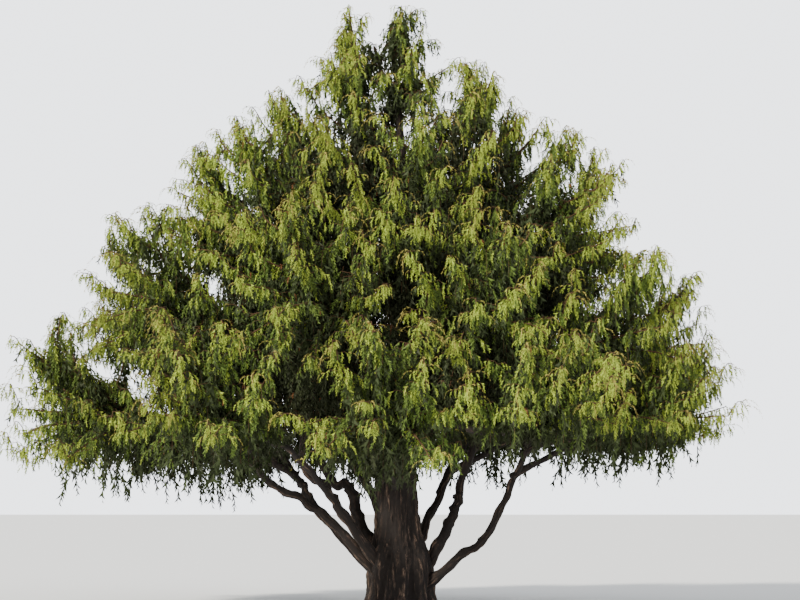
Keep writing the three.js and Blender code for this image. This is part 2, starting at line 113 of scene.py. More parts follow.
# %% [markdown]
# ## The rule that the tree grows by
#
# The solids were grown by a rule: tiers of tips on ellipses, a seeded chance for every irregular size, and
# for each mass of foliage a foot, an elbow, an apex and a hem. Repeating the rule here, with the same
# numbers, puts every twig where its solid is. Reading points off the solids would work too, but a rule is
# shorter, and it says how the tree is built.

# %% Chance and paths
SEED = 7
CHANCE_STEPS = (127.1, 311.7, 74.7, 19.19)  # as in the source, for the mass, the twig, the purpose and seed
CHANCE_SPREAD = 43758.5453
GOLDEN_TURN = math.radians(137.5)
UP = np.array([0.0, 0.0, 1.0])


def chance(mass, twig, purpose):
    """A repeatable chance from 0 to 1, worked out in the same way as in the source."""
    by_mass, by_twig, by_purpose, by_seed = CHANCE_STEPS
    turn = mass * by_mass + twig * by_twig + purpose * by_purpose + SEED * by_seed
    s = math.sin(turn) * CHANCE_SPREAD
    return s - math.floor(s)


def between(low, high, *keys):
    return low + (high - low) * chance(*keys)


def mix(a, b, share):
    return a + (b - a) * share


def bearing(angle):
    return np.array([math.cos(angle), math.sin(angle), 0.0])


def path_through(points):
    """A smooth path through points, as a function of a number from 0 at the first to 1 at the last."""
    spots = np.array([2 * points[0] - points[1], *points, 2 * points[-1] - points[-2]])
    spans = len(points) - 1

    def place(t):
        along = np.clip(np.atleast_1d(t), 0, 1) * spans
        first = np.minimum(along.astype(int), spans - 1)
        w = (along - first)[:, None]
        a, b, c, d = (spots[first + k] for k in range(4))
        leave, arrive = (c - a) / 2, (d - b) / 2
        bend = 3 * (c - b) - 2 * leave - arrive
        return b + leave * w + bend * w**2 + (2 * (b - c) + leave + arrive) * w**3

    return place


# %% Trunk and stems, as the source gives them
TRUNK_AXIS = [
    (0, 0, 0),
    (-0.015, 0, 0.8),
    (-0.06, 0, 1.65),
    (-0.02, 0, 2.35),
    (0.19, 0.01, 3.2),
    (0.23, 0.03, 4.6),
    (0.07, 0.02, 6.6),
    (-0.06, 0, 8.25),
]
TRUNK_RADII = [
    (0, 0.62),
    (0.2, 0.52),
    (0.56, 0.52),
    (0.86, 0.47),
    (1.15, 0.375),
    (1.65, 0.345),
    (2.35, 0.3),
    (2.8, 0.19),
    (4.6, 0.15),
    (6.6, 0.092),
    (8.25, 0.044),
]
STEMS = {
    "leader_left": {
        "way": [(-0.06, 0.02, 1.9), (-0.33, 0.06, 2.75), (-0.6, 0.12, 4.6)],
        "radii": (0.185, 0.062),
        "to": "top_1",
    },
    "stem_left_low": {
        "way": [(-0.25, -0.11, 0.42), (-1.04, -0.33, 1.34), (-1.53, -0.5, 1.7), (-2.16, -0.72, 2.21)],
        "radii": (0.084, 0.046),
        "to": "middle_6",
    },
    "stem_left_outer": {
        "way": [(-0.25, 0.11, 0.42), (-1.29, 0.43, 1.53), (-1.53, 0.56, 1.9), (-1.76, 0.64, 2.23)],
        "radii": (0.088, 0.046),
        "to": "middle_5",
    },
    "stem_left_inner": {
        "way": [(-0.24, -0.17, 0.56), (-0.89, -0.52, 1.5), (-1.11, -0.68, 1.87), (-1.47, -1.0, 2.35)],
        "radii": (0.09, 0.046),
        "to": "middle_7",
    },
    "stem_left_thick": {
        "way": [(-0.17, 0.06, 0.56), (-0.6, 0.19, 1.26), (-0.79, 0.25, 1.87), (-1.23, 0.33, 2.3)],
        "radii": (0.125, 0.052),
        "to": "upper_4",
    },
    "stem_right_thick": {
        "way": [(0.23, 0.06, 0.3), (0.7, 0.21, 1.18), (0.9, 0.33, 1.66), (1.05, 0.42, 2.23)],
        "radii": (0.108, 0.052),
        "to": "upper_1",
    },
    "stem_right_outer": {
        "way": [
            (0.24, -0.06, 0.23),
            (0.92, -0.23, 0.82),
            (1.28, -0.33, 1.08),
            (1.6, -0.47, 1.7),
            (1.84, -0.6, 2.27),
        ],
        "radii": (0.08, 0.046),
        "to": "middle_9",
    },
    "stem_back_left": {
        "way": [(-0.08, 0.2, 0.56), (-0.42, 0.9, 1.7)],
        "radii": (0.096, 0.046),
        "to": "middle_4",
    },
    "stem_back_right": {
        "way": [(0.12, 0.2, 0.56), (0.62, 0.86, 1.75)],
        "radii": (0.092, 0.046),
        "to": "middle_2",
    },
}

# %% Tiers of masses, as the source gives them
# "left", "right" and "depth" are the half axes of a tier's ellipse of tips, and "tip_left" and "tip_right"
# their heights. "back" and "sink" place a mass's foot behind and below its tip, and "sprawl" and "tall" are
# its size. The last four are this lesson's own: how many arms and rising spires a mass has, how high its
# spires stand above it at the left and at the right of the crown, and how much lighter its sprays are
# painted: "glow" is painted sunlight, which grows towards the top of the crown.
TIERS = [
    {
        "name": "low",
        "count": 11,
        "first": 4,
        "left": 5.85,
        "right": 4.65,
        "depth": 5.05,
        "tip_left": 3.95,
        "tip_right": 3.85,
        "back": 1.6,
        "sink": 1.15,
        "arch": 0,
        "sprawl": 1.29,
        "tall": 2.1,
        "arms": 12,
        "spires": 3,
        "rise": (0.25, 0.0),
        "glow": -0.06,
    },
    {
        "name": "middle",
        "count": 9,
        "first": 10,
        "left": 4.65,
        "right": 4.5,
        "depth": 4.05,
        "tip_left": 5.8,
        "tip_right": 5.35,
        "back": 1.25,
        "sink": 1.4,
        "arch": -0.1,
        "sprawl": 1.34,
        "tall": 2.6,
        "arms": 13,
        "spires": 3,
        "rise": (0.2, -0.1),
        "glow": -0.03,
    },
    {
        "name": "upper",
        "count": 7,
        "first": 14,
        "left": 3.25,
        "right": 3.2,
        "depth": 2.85,
        "tip_left": 7.25,
        "tip_right": 7.25,
        "back": 0.9,
        "sink": 1.5,
        "arch": -0.14,
        "sprawl": 1.18,
        "tall": 2.55,
        "arms": 12,
        "spires": 3,
        "rise": (0.0, 0.05),
        "glow": 0.02,
    },
    {
        "name": "high",
        "count": 5,
        "first": 26,
        "left": 2.15,
        "right": 2.2,
        "depth": 1.6,
        "tip_left": 8.4,
        "tip_right": 8.15,
        "back": 0.65,
        "sink": 1.35,
        "arch": -0.14,
        "sprawl": 0.9,
        "tall": 2.2,
        "arms": 8,
        "spires": 3,
        "rise": (0.25, -0.2),
        "glow": 0.08,
    },
]
TOPS = [(-0.81, 0.06, 9.5), (-0.04, -0.08, 9.36), (1.21, 0.18, 8.64)]
TOP_TIER = {
    "name": "top",
    "back": 0.12,
    "sink": 1.15,
    "arch": -0.05,
    "sprawl": 0.4,
    "tall": 1.65,
    "arms": 8,
    "spires": 3,
    "rise": (-0.6, -0.55),
    "glow": 0.2,
}
TIER_TURN = 0.12  # how much a mass stands aside of its even place, as a share of the spacing
TIER_REACH = (0.96, 1.03)  # how far out its tip stands, as shares of the ellipse
TIER_LIFT = 0.16  # how much higher or lower its tip may be
ELBOW = 0.6  # place of the elbow between foot and tip
APEX = 0.7  # place of the apex between elbow and tip
FLOOR_LEFT = 1.85  # height of the crown's hem at its left edge
FLOOR_RIGHT = 2.35
FLOOR_FRONT = 1.8  # and of the one plume that hangs in front of the trunk
FRONT_RISE = 0.25  # how much higher the hem is at the front
FRONT_PLUME = "low_9"


def tier_edge(tier, angle):
    """How far out the ellipse of a tier's tips lies at an angle."""
    side = tier["right"] if math.cos(angle) > 0 else tier["left"]
    return 1 / math.hypot(math.cos(angle) / side, math.sin(angle) / tier["depth"])


def tip_height(tier, angle):
    """How high a tier's tips stand at an angle."""
    return mix(tier["tip_left"], tier["tip_right"], (1 + math.cos(angle)) / 2)


def to_the_right(place):
    """Where a place lies across the crown: 0 at its left edge and 1 at its right edge."""
    return (place[0] + TIERS[0]["left"]) / (TIERS[0]["left"] + TIERS[0]["right"])


class Mass:
    """A mass of foliage: the points that its leader runs through, and the hem and floor of its space."""

    def __init__(self, tier, number, outward, tip):
        self.tier = tier
        self.name = f"{tier['name']}_{number}"
        self.outward = outward
        self.tip = tip
        back, arch = tier["back"], tier["arch"]
        self.foot = tip - outward * back
        self.foot[2] = tip[2] - tier["sink"]
        self.elbow = mix(self.foot, tip, ELBOW) - outward * arch * back + UP * arch * back
        self.apex = mix(self.elbow, tip, APEX)
        rise = FRONT_RISE * max(0, -outward[1]) ** 2
        self.floor = mix(FLOOR_LEFT, FLOOR_RIGHT, to_the_right(tip)) + rise
        if self.name == FRONT_PLUME:
            self.floor = FLOOR_FRONT
        self.hem = mix(self.foot, tip, 0.5)
        self.hem[2] = max(tip[2] - tier["tall"], self.floor)
        self.heart = mix(self.apex, self.hem, 0.5)


def masses_of(tier):
    for k in range(tier["count"]):
        turn = between(-TIER_TURN, TIER_TURN, k, tier["count"], 1)
        angle = math.radians(tier["first"] + 360 / tier["count"] * (k + turn))
        reach = tier_edge(tier, angle) * between(*TIER_REACH, k, tier["count"], 2)
        height = tip_height(tier, angle) + between(-TIER_LIFT, TIER_LIFT, k, tier["count"], 3)
        yield Mass(tier, k + 1, bearing(angle), bearing(angle) * reach + UP * height)


TOP_FIRST = 200  # degrees: the way that the first top mass faces
TOP_STEP = 140  # and how much further round the next one does
masses = [mass for tier in TIERS for mass in masses_of(tier)]
for k, top in enumerate(TOPS):
    masses.append(Mass(TOP_TIER, k + 1, bearing(math.radians(TOP_FIRST + TOP_STEP * k)), np.array(top)))
by_name = {mass.name: mass for mass in masses}
hearts = np.array([mass.heart for mass in masses])
print("masses:", len(masses))


def room(mass, points):
    """How far inside a mass's own space each point lies: it ends halfway to every other mass's heart."""
    points = np.atleast_2d(points)
    others = hearts[[other is not mass for other in masses]]
    to_others = ((points[:, None] - others) ** 2).sum(2)
    to_own = ((points - mass.heart) ** 2).sum(1)
    apart = 2 * np.linalg.norm(others - mass.heart, axis=1)
    return np.minimum(((to_others - to_own[:, None]) / apart).min(1), points[:, 2] - mass.floor)


# %% [markdown]
# ## Where the boughs leave the wood
#
# A bough of the model starts on the stem or the trunk that it grew from. The rule that found that place
# tests the clearance of solids, which is slow to repeat, so each bough's root is read from its own packed
# node. The masses higher up have no bough node: their leader starts at the easiest climb from the wood.

# %% Paths of the limbs
BOUGH_ARCH = 0.06  # how high a bough arches, for its length
BOUGH_END = 0.5  # where on the path the bough ends and its mass starts
BOUGH_BASE_RADIUS = 0.058
BOUGH_TIP_RADIUS = 0.036
BOUGH_FOOT = 0.05  # length of a packed bough's end that its root is read from
BURIED = 0.12  # how far a limb's root runs on inside the wood that carries it
CLIMB = {"upper": 1.1, "high": 1.3, "top": 1.2}  # the easiest slope to each tier
CLIMB_COST = 1.5
LEAST_HOST_RADIUS = 0.042  # a limb grows only from one at least this thick
TRUNK_HOSTS = np.linspace(0.3, 1, 41)  # shares of the trunk's path that a limb may grow from
LIMB_HOSTS = np.linspace(0, 1, 21)
NEAR_TOP = 0.98  # the top mass's leader carries on from here on the trunk's path

trunk_heights, trunk_radii = np.array(TRUNK_RADII).T
trunk_path = path_through(np.array(TRUNK_AXIS, float))
limbs = {}  # name: (path, from, to, radius at from, radius at to)
hosts = []  # points on the wood with their radius

for share in TRUNK_HOSTS:
    point = trunk_path(share)[0]
    hosts.append((point, float(np.interp(point[2], trunk_heights, trunk_radii))))


def add_limb(name, path, end, base, tip):
    limbs[name] = (path, 0.0, end, base, tip)
    for share in LIMB_HOSTS:
        hosts.append((path(share * end)[0], mix(base, tip, share)))


for name, stem in STEMS.items():
    mass = by_name[stem["to"]]
    way = [np.array(p, float) for p in stem["way"]]
    mass.path = path_through([*way, mass.foot, mass.elbow, mass.tip])
    mass.start = len(way) / (len(way) + 2)
    mass.radius = stem["radii"][1]
    add_limb(name, mass.path, mass.start, *stem["radii"])

on_trunk = by_name["top_2"]
on_trunk.path = path_through([trunk_path(NEAR_TOP)[0], trunk_path(1)[0], on_trunk.elbow, on_trunk.tip])
on_trunk.start = 0.0
on_trunk.radius = trunk_radii[-1]


def path_from(root, mass):
    halfway = mix(root, mass.foot, 0.5) + UP * BOUGH_ARCH * np.linalg.norm(mass.foot - root)
    root = root + (root - halfway) / np.linalg.norm(root - halfway) * BURIED
    return path_through([root, halfway, mass.foot, mass.elbow, mass.tip])


def root_on_node(mass):
    """The middle of the end of a packed bough that lies furthest from its mass's foot."""
    corners = np.array([v.co for v in frame["nodes"][f"bough_{mass.name}"].data.vertices])
    away = np.linalg.norm(corners - mass.foot, axis=1)
    return corners[away > away.max() - BOUGH_FOOT].mean(0)


def root_on_wood(mass):
    """The place on the wood with the shortest and easiest climb to a mass's foot."""
    reach = math.hypot(*mass.foot[:2])

    def cost(host):
        point, radius = host
        if radius < LEAST_HOST_RADIUS or math.hypot(*point[:2]) > reach:
            return math.inf
        run = math.hypot(*(mass.foot - point)[:2])
        climb = abs(mass.foot[2] - point[2] - CLIMB[mass.tier["name"]] * run)
        aside = abs(point[0] * mass.foot[1] - point[1] * mass.foot[0]) / reach
        return float(np.linalg.norm(mass.foot - point)) + CLIMB_COST * climb + aside

    return min(hosts, key=cost)[0]


for mass in masses:
    if hasattr(mass, "path"):
        continue
    on_bough = f"bough_{mass.name}" in frame["nodes"]
    mass.path = path_from(root_on_node(mass) if on_bough else root_on_wood(mass), mass)
    mass.start = BOUGH_END if on_bough else 0.0
    mass.radius = BOUGH_TIP_RADIUS
    if on_bough:
        add_limb(f"bough_{mass.name}", mass.path, BOUGH_END, BOUGH_BASE_RADIUS, BOUGH_TIP_RADIUS)
print("limbs:", len(limbs))

# %% [markdown]
# ## Helpers for node trees
#
# Blender builds node trees one node and one link at a time. Small helpers keep that readable: one makes a
# tree with named inputs, one adds a node and wires it, and one runs a finished tree on a mesh and keeps the
# result as a plain mesh, because what is exported must not depend on a live modifier. Each tree ends in
# Realize Instances and Set Material, so that the plain mesh has all its faces and its finish.


# %% Node helpers
def new_tree(name, inputs):
    """A geometry node tree with a geometry input, more named inputs and a geometry output."""
    tree = bpy.data.node_groups.new(name, "GeometryNodeTree")
    for label, kind in [("Geometry", "Geometry"), *inputs]:
        tree.interface.new_socket(label, in_out="INPUT", socket_type=f"NodeSocket{kind}")
    tree.interface.new_socket("Geometry", in_out="OUTPUT", socket_type="NodeSocketGeometry")
    start = tree.nodes.new("NodeGroupInput")
    return tree, {socket.name: socket for socket in start.outputs}


def socket_of(sockets, label):
    """A socket by its number, or the one in use that has a name."""
    if isinstance(label, int):
        return sockets[label]
    return next(s for s in sockets if s.enabled and s.name == label)


def wire(tree, kind, feeds, out=0, **settings):
    """Adds a node, sets its options, links or sets its inputs, and gives one of its outputs."""
    node = tree.nodes.new(kind)
    for key, value in settings.items():
        setattr(node, key, value)
    for label, value in feeds.items():
        socket = socket_of(node.inputs, label)
        if isinstance(value, bpy.types.NodeSocket):
            tree.links.new(value, socket)
        else:
            socket.default_value = value
    return socket_of(node.outputs, out)


def finish_tree(tree, geometry, material):
    """Ends a tree in Realize Instances and Set Material."""
    real = wire(tree, "GeometryNodeRealizeInstances", {"Geometry": geometry})
    coated = wire(tree, "GeometryNodeSetMaterial", {"Geometry": real, "Material": material})
    tree.links.new(coated, tree.nodes.new("NodeGroupOutput").inputs[0])


def attribute(tree, name, kind="FLOAT"):
    feeds = {"Name": name}
    return wire(tree, "GeometryNodeInputNamedAttribute", feeds, "Attribute", data_type=kind)


def math_node(tree, operation, a, b=0.0, clamp=False):
    feeds = {0: a, 1: b}
    return wire(tree, "ShaderNodeMath", feeds, operation=operation, use_clamp=clamp)


def run_tree(mesh, tree, name, values):
    """Runs a tree on a mesh, with a value for each named input, and gives the result as a plain object."""
    source = bpy.data.objects.new("source", mesh)
    bpy.context.scene.collection.objects.link(source)
    modifier = source.modifiers.new(tree.name, "NODES")
    modifier.node_group = tree
    for item in tree.interface.items_tree:
        if item.in_out == "INPUT" and item.name in values:
            modifier[item.identifier] = values[item.name]
    depsgraph = bpy.context.evaluated_depsgraph_get()
    made = bpy.data.meshes.new_from_object(source.evaluated_get(depsgraph), depsgraph=depsgraph)
    bpy.data.objects.remove(source)
    piece = bpy.data.objects.new(name, made)
    made.name = name
    bpy.context.scene.collection.objects.link(piece)
    return piece


def mesh_of(name, corners, edges=(), faces=(), **attributes):
    """A mesh with a value for each corner under each attribute's name."""
    mesh = bpy.data.meshes.new(name)
    mesh.from_pydata(np.asarray(corners, float).tolist(), list(edges), list(faces))
    for label, values in attributes.items():
        values = np.asarray(values, np.float32)
        kind, field = ("FLOAT_VECTOR", "vector") if values.ndim == 2 else ("FLOAT", "value")
        mesh.attributes.new(label, kind, "POINT").data.foreach_set(field, values.ravel())
    return mesh


def settle(piece, nodes):
    """A finished piece rides on the tree and stands for its nodes."""
    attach(piece, "root")
    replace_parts(piece, *nodes)
    print(f"{piece.name}: {len(piece.data.polygons)} faces")


# %% [markdown]
# ## Shader groups
#
# Each effect is a shader node group, with its scales and amounts as inputs, so that any material can use it.
# "Patchy tone" makes a colour wander: whole boughs turn yellower or bluer, and single sprays lighter or
# darker. "Fibres" makes long thin strands, from the grain that each limb in bark carries with it.

# %% Patchy tone
def new_group(name, inputs, outputs):
    """A shader group with (name, kind, value) inputs and (name, kind) outputs."""
    group = bpy.data.node_groups.new(name, "ShaderNodeTree")
    for label, kind, value in inputs:
        socket = group.interface.new_socket(label, in_out="INPUT", socket_type=f"NodeSocket{kind}")
        socket.default_value = value
    for label, kind in outputs:
        group.interface.new_socket(label, in_out="OUTPUT", socket_type=f"NodeSocket{kind}")
    start = group.nodes.new("NodeGroupInput")
    return group, {socket.name: socket for socket in start.outputs}, group.nodes.new("NodeGroupOutput")


def noise(tree, place, scale, detail=2.0, roughness=0.5, distortion=0.0):
    look = {"Detail": detail, "Roughness": roughness, "Distortion": distortion}
    return wire(tree, "ShaderNodeTexNoise", {"Vector": place, "Scale": scale, **look}, 0)


def spread_of(tree, value, low, high, to_low, to_high):
    """A value from one range to another, held at the ends."""
    feeds = {0: value, 1: low, 2: high, 3: to_low, 4: to_high}
    return wire(tree, "ShaderNodeMapRange", feeds, 0)


def patchy_tone():
    sizes = [("Patch Scale", "Float", 0.6), ("Spray Scale", "Float", 7.0)]
    amounts = [("Hue Shift", "Float", 0.02), ("Light Shift", "Float", 0.3)]
    colour = ("Color", "Color", (0.1, 0.2, 0.05, 1))
    group, given, end = new_group("patchy tone", [colour, *sizes, *amounts], [("Color", "Color")])
    place = wire(group, "ShaderNodeTexCoord", {}, "Object")
    patches = noise(group, place, given["Patch Scale"])
    sprays = noise(group, place, given["Spray Scale"], detail=3.0)
    turned = math_node(group, "SUBTRACT", patches, 0.5)
    hue = math_node(group, "MULTIPLY_ADD", turned, given["Hue Shift"])
    hue.node.inputs[2].default_value = 0.5
    lighter = math_node(group, "SUBTRACT", math_node(group, "ADD", patches, sprays), 1.0)
    value = math_node(group, "MULTIPLY_ADD", lighter, given["Light Shift"])
    value.node.inputs[2].default_value = 1.0
    feeds = {"Hue": hue, "Saturation": 1.0, "Value": value, "Fac": 1.0, "Color": given["Color"]}
    tone = wire(group, "ShaderNodeHueSaturation", feeds, 0)
    group.links.new(tone, end.inputs["Color"])
    return group


tone_group = patchy_tone()
print("group:", tone_group.name)


# %% Fibres
def fibres():
    inputs = [("Scale", "Float", 1.0), ("Sharpness", "Float", 2.0)]
    group, given, end = new_group("fibres", inputs, [("Strands", "Float"), ("Flakes", "Float")])
    grain = wire(group, "ShaderNodeAttribute", {}, "Vector", attribute_name="grain")
    finer = math_node(group, "MULTIPLY", given["Scale"], 4.0)
    fine = noise(group, grain, finer, detail=4.0, roughness=0.6, distortion=0.3)
    ridge = math_node(group, "ABSOLUTE", math_node(group, "SUBTRACT", fine, 0.5))
    strands = math_node(group, "MULTIPLY", ridge, given["Sharpness"], clamp=True)
    flakes = noise(group, grain, given["Scale"], detail=3.0, roughness=0.6, distortion=0.5)
    group.links.new(strands, end.inputs["Strands"])
    group.links.new(flakes, end.inputs["Flakes"])
    return group


fibre_group = fibres()
print("group:", fibre_group.name)

# %% [markdown]
# ## Materials
#
# Bark is dark red-brown, greyer on its ridges and paler towards the foot. Its furrows, the grooves between
# its flutes and the gaps between its fibres are painted almost black, as painted shade. The needles have a
# few plain colours, dealt out spray by spray by how much painted light each one gets: deep greens for
# painted shade inside the crown, mid green, and the yellow-green of painted sunlight on its outside; golden
# growing tips and a little rust where a spray has died are the needles' own colours.


# %% Bark materials
def principled(name, roughness):
    material = bpy.data.materials.new(name)
    material.use_nodes = True
    tree = material.node_tree
    shader = tree.nodes["Principled BSDF"]
    shader.inputs["Roughness"].default_value = roughness
    return material, tree, shader


def placed_group(tree, group, **values):
    node = tree.nodes.new("ShaderNodeGroup")
    node.node_tree = group
    for label, value in values.items():
        node.inputs[label.replace("_", " ")].default_value = value
    return node


def colour_mix(tree, share, a, b):
    feeds = {"Factor": share, "A": a, "B": b}
    return wire(tree, "ShaderNodeMix", feeds, "Result", data_type="RGBA")


# painted shade: the near-black of the furrows, of the grooves between the flutes and of the gaps between
# fibres
FURROW_SHADE_COLOUR = (0.012, 0.007, 0.005, 1)
BARK_COLOUR = (0.07, 0.04, 0.025, 1)
RIDGE_COLOUR = (0.3, 0.19, 0.13, 1)
FOOT_COLOUR = (0.3, 0.2, 0.13, 1)
FOOT_TOP = 0.95  # height where the pale foot has faded out
FOOT_PALE = 0.75  # how pale it is at the ground
RIDGE_FLAKES = (0.47, 0.66)  # flakes between these values turn from bark to ridge
RIDGE_PALE = 0.9
FURROW_SHADE_DEPTHS = (0.1, 0.6)  # depths between which a furrow, and a groove between the flutes, turns from bark to painted shade
BUMP_STRENGTH = 0.8
BUMP_DEPTH = 0.006


def bark_material():
    material, tree, shader = principled("juniper bark", 0.9)
    fibre = placed_group(tree, fibre_group, Scale=1.0, Sharpness=5.0)
    furrow = wire(tree, "ShaderNodeAttribute", {}, "Fac", attribute_name="furrow")
    height = wire(tree, "ShaderNodeSeparateXYZ", {0: wire(tree, "ShaderNodeTexCoord", {}, "Object")}, "Z")
    # the bark is paler towards the ground, in flakes that fade out by FOOT_TOP
    low = spread_of(tree, height, 0.0, FOOT_TOP, FOOT_PALE, 0.0)
    pale = math_node(tree, "MULTIPLY", low, fibre.outputs["Flakes"])
    ridge = spread_of(tree, fibre.outputs["Flakes"], *RIDGE_FLAKES, 0.0, RIDGE_PALE)
    plain = colour_mix(tree, ridge, BARK_COLOUR, RIDGE_COLOUR)
    pale_at_foot = colour_mix(tree, pale, plain, FOOT_COLOUR)
    # painted shade: near-black in the gaps between the fibres, and in the furrows and grooves between the
    # flutes
    stranded = colour_mix(tree, fibre.outputs["Strands"], FURROW_SHADE_COLOUR, pale_at_foot)
    dark = spread_of(tree, furrow, *FURROW_SHADE_DEPTHS, 0.0, 1.0)
    colour = colour_mix(tree, dark, stranded, FURROW_SHADE_COLOUR)
    tree.links.new(colour, shader.inputs["Base Color"])
    bump = tree.nodes.new("ShaderNodeBump")
    bump.inputs["Strength"].default_value = BUMP_STRENGTH
    bump.inputs["Distance"].default_value = BUMP_DEPTH
    tree.links.new(fibre.outputs["Strands"], bump.inputs["Height"])
    tree.links.new(bump.outputs["Normal"], shader.inputs["Normal"])
    return material


bark = bark_material()

# %% Needle and twig materials
# inner, deep, mid and light are shaded and lit copies of one green: painted shade inside the crown and
# painted sunlight on its outside; golden and rusty are the needles' own colours
NEEDLE_COLOURS = {
    "inner": (0.028, 0.034, 0.014, 1),
    "deep": (0.034, 0.046, 0.015, 1),
    "mid": (0.096, 0.142, 0.025, 1),
    "light": (0.29, 0.36, 0.048, 1),
    "golden": (0.31, 0.26, 0.065, 1),
    "rusty": (0.2, 0.075, 0.028, 1),
}
TWIG_COLOUR = (0.09, 0.05, 0.026, 1)
GLOSS = 0.18
HUE_SHIFT = 0.03


def toned_material(name, colour, roughness, light_shift):
    material, tree, shader = principled(name, roughness)
    shader.inputs["Specular IOR Level"].default_value = GLOSS
    tone = placed_group(tree, tone_group, Color=colour, Hue_Shift=HUE_SHIFT, Light_Shift=light_shift)
    tree.links.new(tone.outputs["Color"], shader.inputs["Base Color"])
    return material


needles = {}
for kind, colour in NEEDLE_COLOURS.items():
    needles[kind] = toned_material(f"needles {kind}", colour, roughness=0.62, light_shift=0.9)
twig_bark = toned_material("twig bark", TWIG_COLOUR, roughness=0.85, light_shift=0.6)
print("materials:", [m.name for m in bpy.data.materials])

# %% [markdown]
# ## Limbs in bark
#
# Juniper bark is stringy: long fibres follow each limb, part into furrows and peel. A tube built along the
# limb's path carries its own grain with it, a vector that runs slowly along the limb and quickly round it.
# The same grain drives real relief in the mesh here and the fine fibres in the material. A sculpted or
# remeshed skin would need many more faces, and its pattern wouldn't turn with the limb.

# %% Tubes with grain
GRAIN_AROUND = 0.06  # width of one lump of bark, measured round the limb
GRAIN_ALONG = 0.6  # and along it
GRAIN_SHIFT = 10  # how far along the grain of one limb may start from that of another
FIRST_SIDE = (0.3, 0.2, 1.0)  # any direction that no limb starts along
ROW = 0.028  # distance between rings of a limb
LEAST_ROWS = 8
PATH_SAMPLES = 60
FACE_WIDTH = 0.018  # how wide one side of a limb is
LIMB_SIDES = (14, 40)  # the fewest and the most sides
SWELL = 0.35  # a stem is thicker by this share where it leaves the foot
BOUGH_SWELL = 0.1
SWELL_REACH = 0.3  # how soon that fades along the stem
CROOK = 0.016  # how far a limb wavers from its smooth path
CROOK_TURNS = (8, 6.1)  # and how quickly, to one side and to the other
KNOTS = 0.13  # how much thicker a limb is at its knots
KNOT_TURNS = (13, 4.3)
TRUNK_SIDES = 144
TRUNK_SAMPLES = 400
FINE_TOP = 3.0  # the trunk's rings are close together up to here
HIGH_ROW = 0.08  # and this far apart above it
FLUTES = 7
FLUTE_DEPTH = 0.24
FLUTE_TWIST = 2.6  # height over which the flutes turn by one radian
FLUTE_TOP = 2.35  # height where the flutes have faded out
FLUTE_CREASE = 0.6  # the lower, the sharper the creases between the flutes
FLUTE_MIDDLE = 0.8
UNEVEN = 0.25  # how much more one side of the foot bulges than another
SMOOTHED = 9  # rings over which the trunk's radius is evened out
GROOVE_EDGE = 0.62  # how wide the painted shade in the grooves between the flutes is


def frames_along(points):
    """Directions along, across and over a path, turned as little as possible."""
    ahead = np.gradient(points, axis=0)
    ahead /= np.linalg.norm(ahead, axis=1)[:, None]
    across = np.empty_like(points)
    side = np.array(FIRST_SIDE)
    for i, direction in enumerate(ahead):
        side = side - direction * side.dot(direction)
        side /= np.linalg.norm(side)
        across[i] = side
    return ahead, across, np.cross(ahead, across)


def tube_mesh(name, centres, radii, across, over, sides, groove=0.0):
    """A closed tube of rings, with the grain and girth of its bark. radii has one value for each corner."""
    rows = len(centres)
    angles = np.arange(sides) * 2 * math.pi / sides
    spokes = np.cos(angles)[None, :, None] * across[:, None] + np.sin(angles)[None, :, None] * over[:, None]
    corners = centres[:, None] + spokes * radii[..., None]
    travel = np.concatenate([[0], np.cumsum(np.linalg.norm(np.diff(centres, axis=0), axis=1))])
    around = radii.mean(1)[:, None] / GRAIN_AROUND
    grain = np.stack(
        [
            np.cos(angles)[None] * around,
            np.sin(angles)[None] * around,
            np.broadcast_to(travel[:, None] / GRAIN_ALONG, radii.shape),
        ],
        axis=2,
    )
    grain += [0, 0, GRAIN_SHIFT * chance(len(name), rows, sides)]
    faces = []
    for i in range(rows - 1):
        for j in range(sides):
            k = (j + 1) % sides
            faces.append((i * sides + j, i * sides + k, (i + 1) * sides + k, (i + 1) * sides + j))
    faces.append(tuple(reversed(range(sides))))
    faces.append(tuple(range((rows - 1) * sides, rows * sides)))
    return mesh_of(
        name,
        corners.reshape(-1, 3),
        faces=faces,
        grain=grain.reshape(-1, 3),
        girth=radii.ravel(),
        groove=np.broadcast_to(groove, radii.shape).ravel(),
    )


def limb_mesh(name, path, begin, end, base, tip, swell):
    rough = path(np.linspace(begin, end, PATH_SAMPLES))
    length = np.linalg.norm(np.diff(rough, axis=0), axis=1).sum()
    rows = max(LEAST_ROWS, round(length / ROW))
    shares = np.linspace(0, 1, rows)
    centres = path(mix(begin, end, shares))
    _, across, over = frames_along(centres)
    along = shares[:, None] * length
    free = np.sin(math.pi * shares[:, None])
    waver = across * np.sin(CROOK_TURNS[0] * along) + over * np.sin(CROOK_TURNS[1] * along + 1)
    centres = centres + free * CROOK * waver
    radii = mix(base, tip, shares) * (1 + swell * np.exp(-shares * length / SWELL_REACH))
    sides = int(np.clip(round(2 * math.pi * base / FACE_WIDTH), *LIMB_SIDES))
    often, seldom = (shares * length * turns for turns in KNOT_TURNS)
    knots = 1 + KNOTS * np.sin(often + len(name)) * np.sin(seldom)
    return tube_mesh(name, centres, (radii * knots)[:, None] * np.ones(sides), across, over, sides)


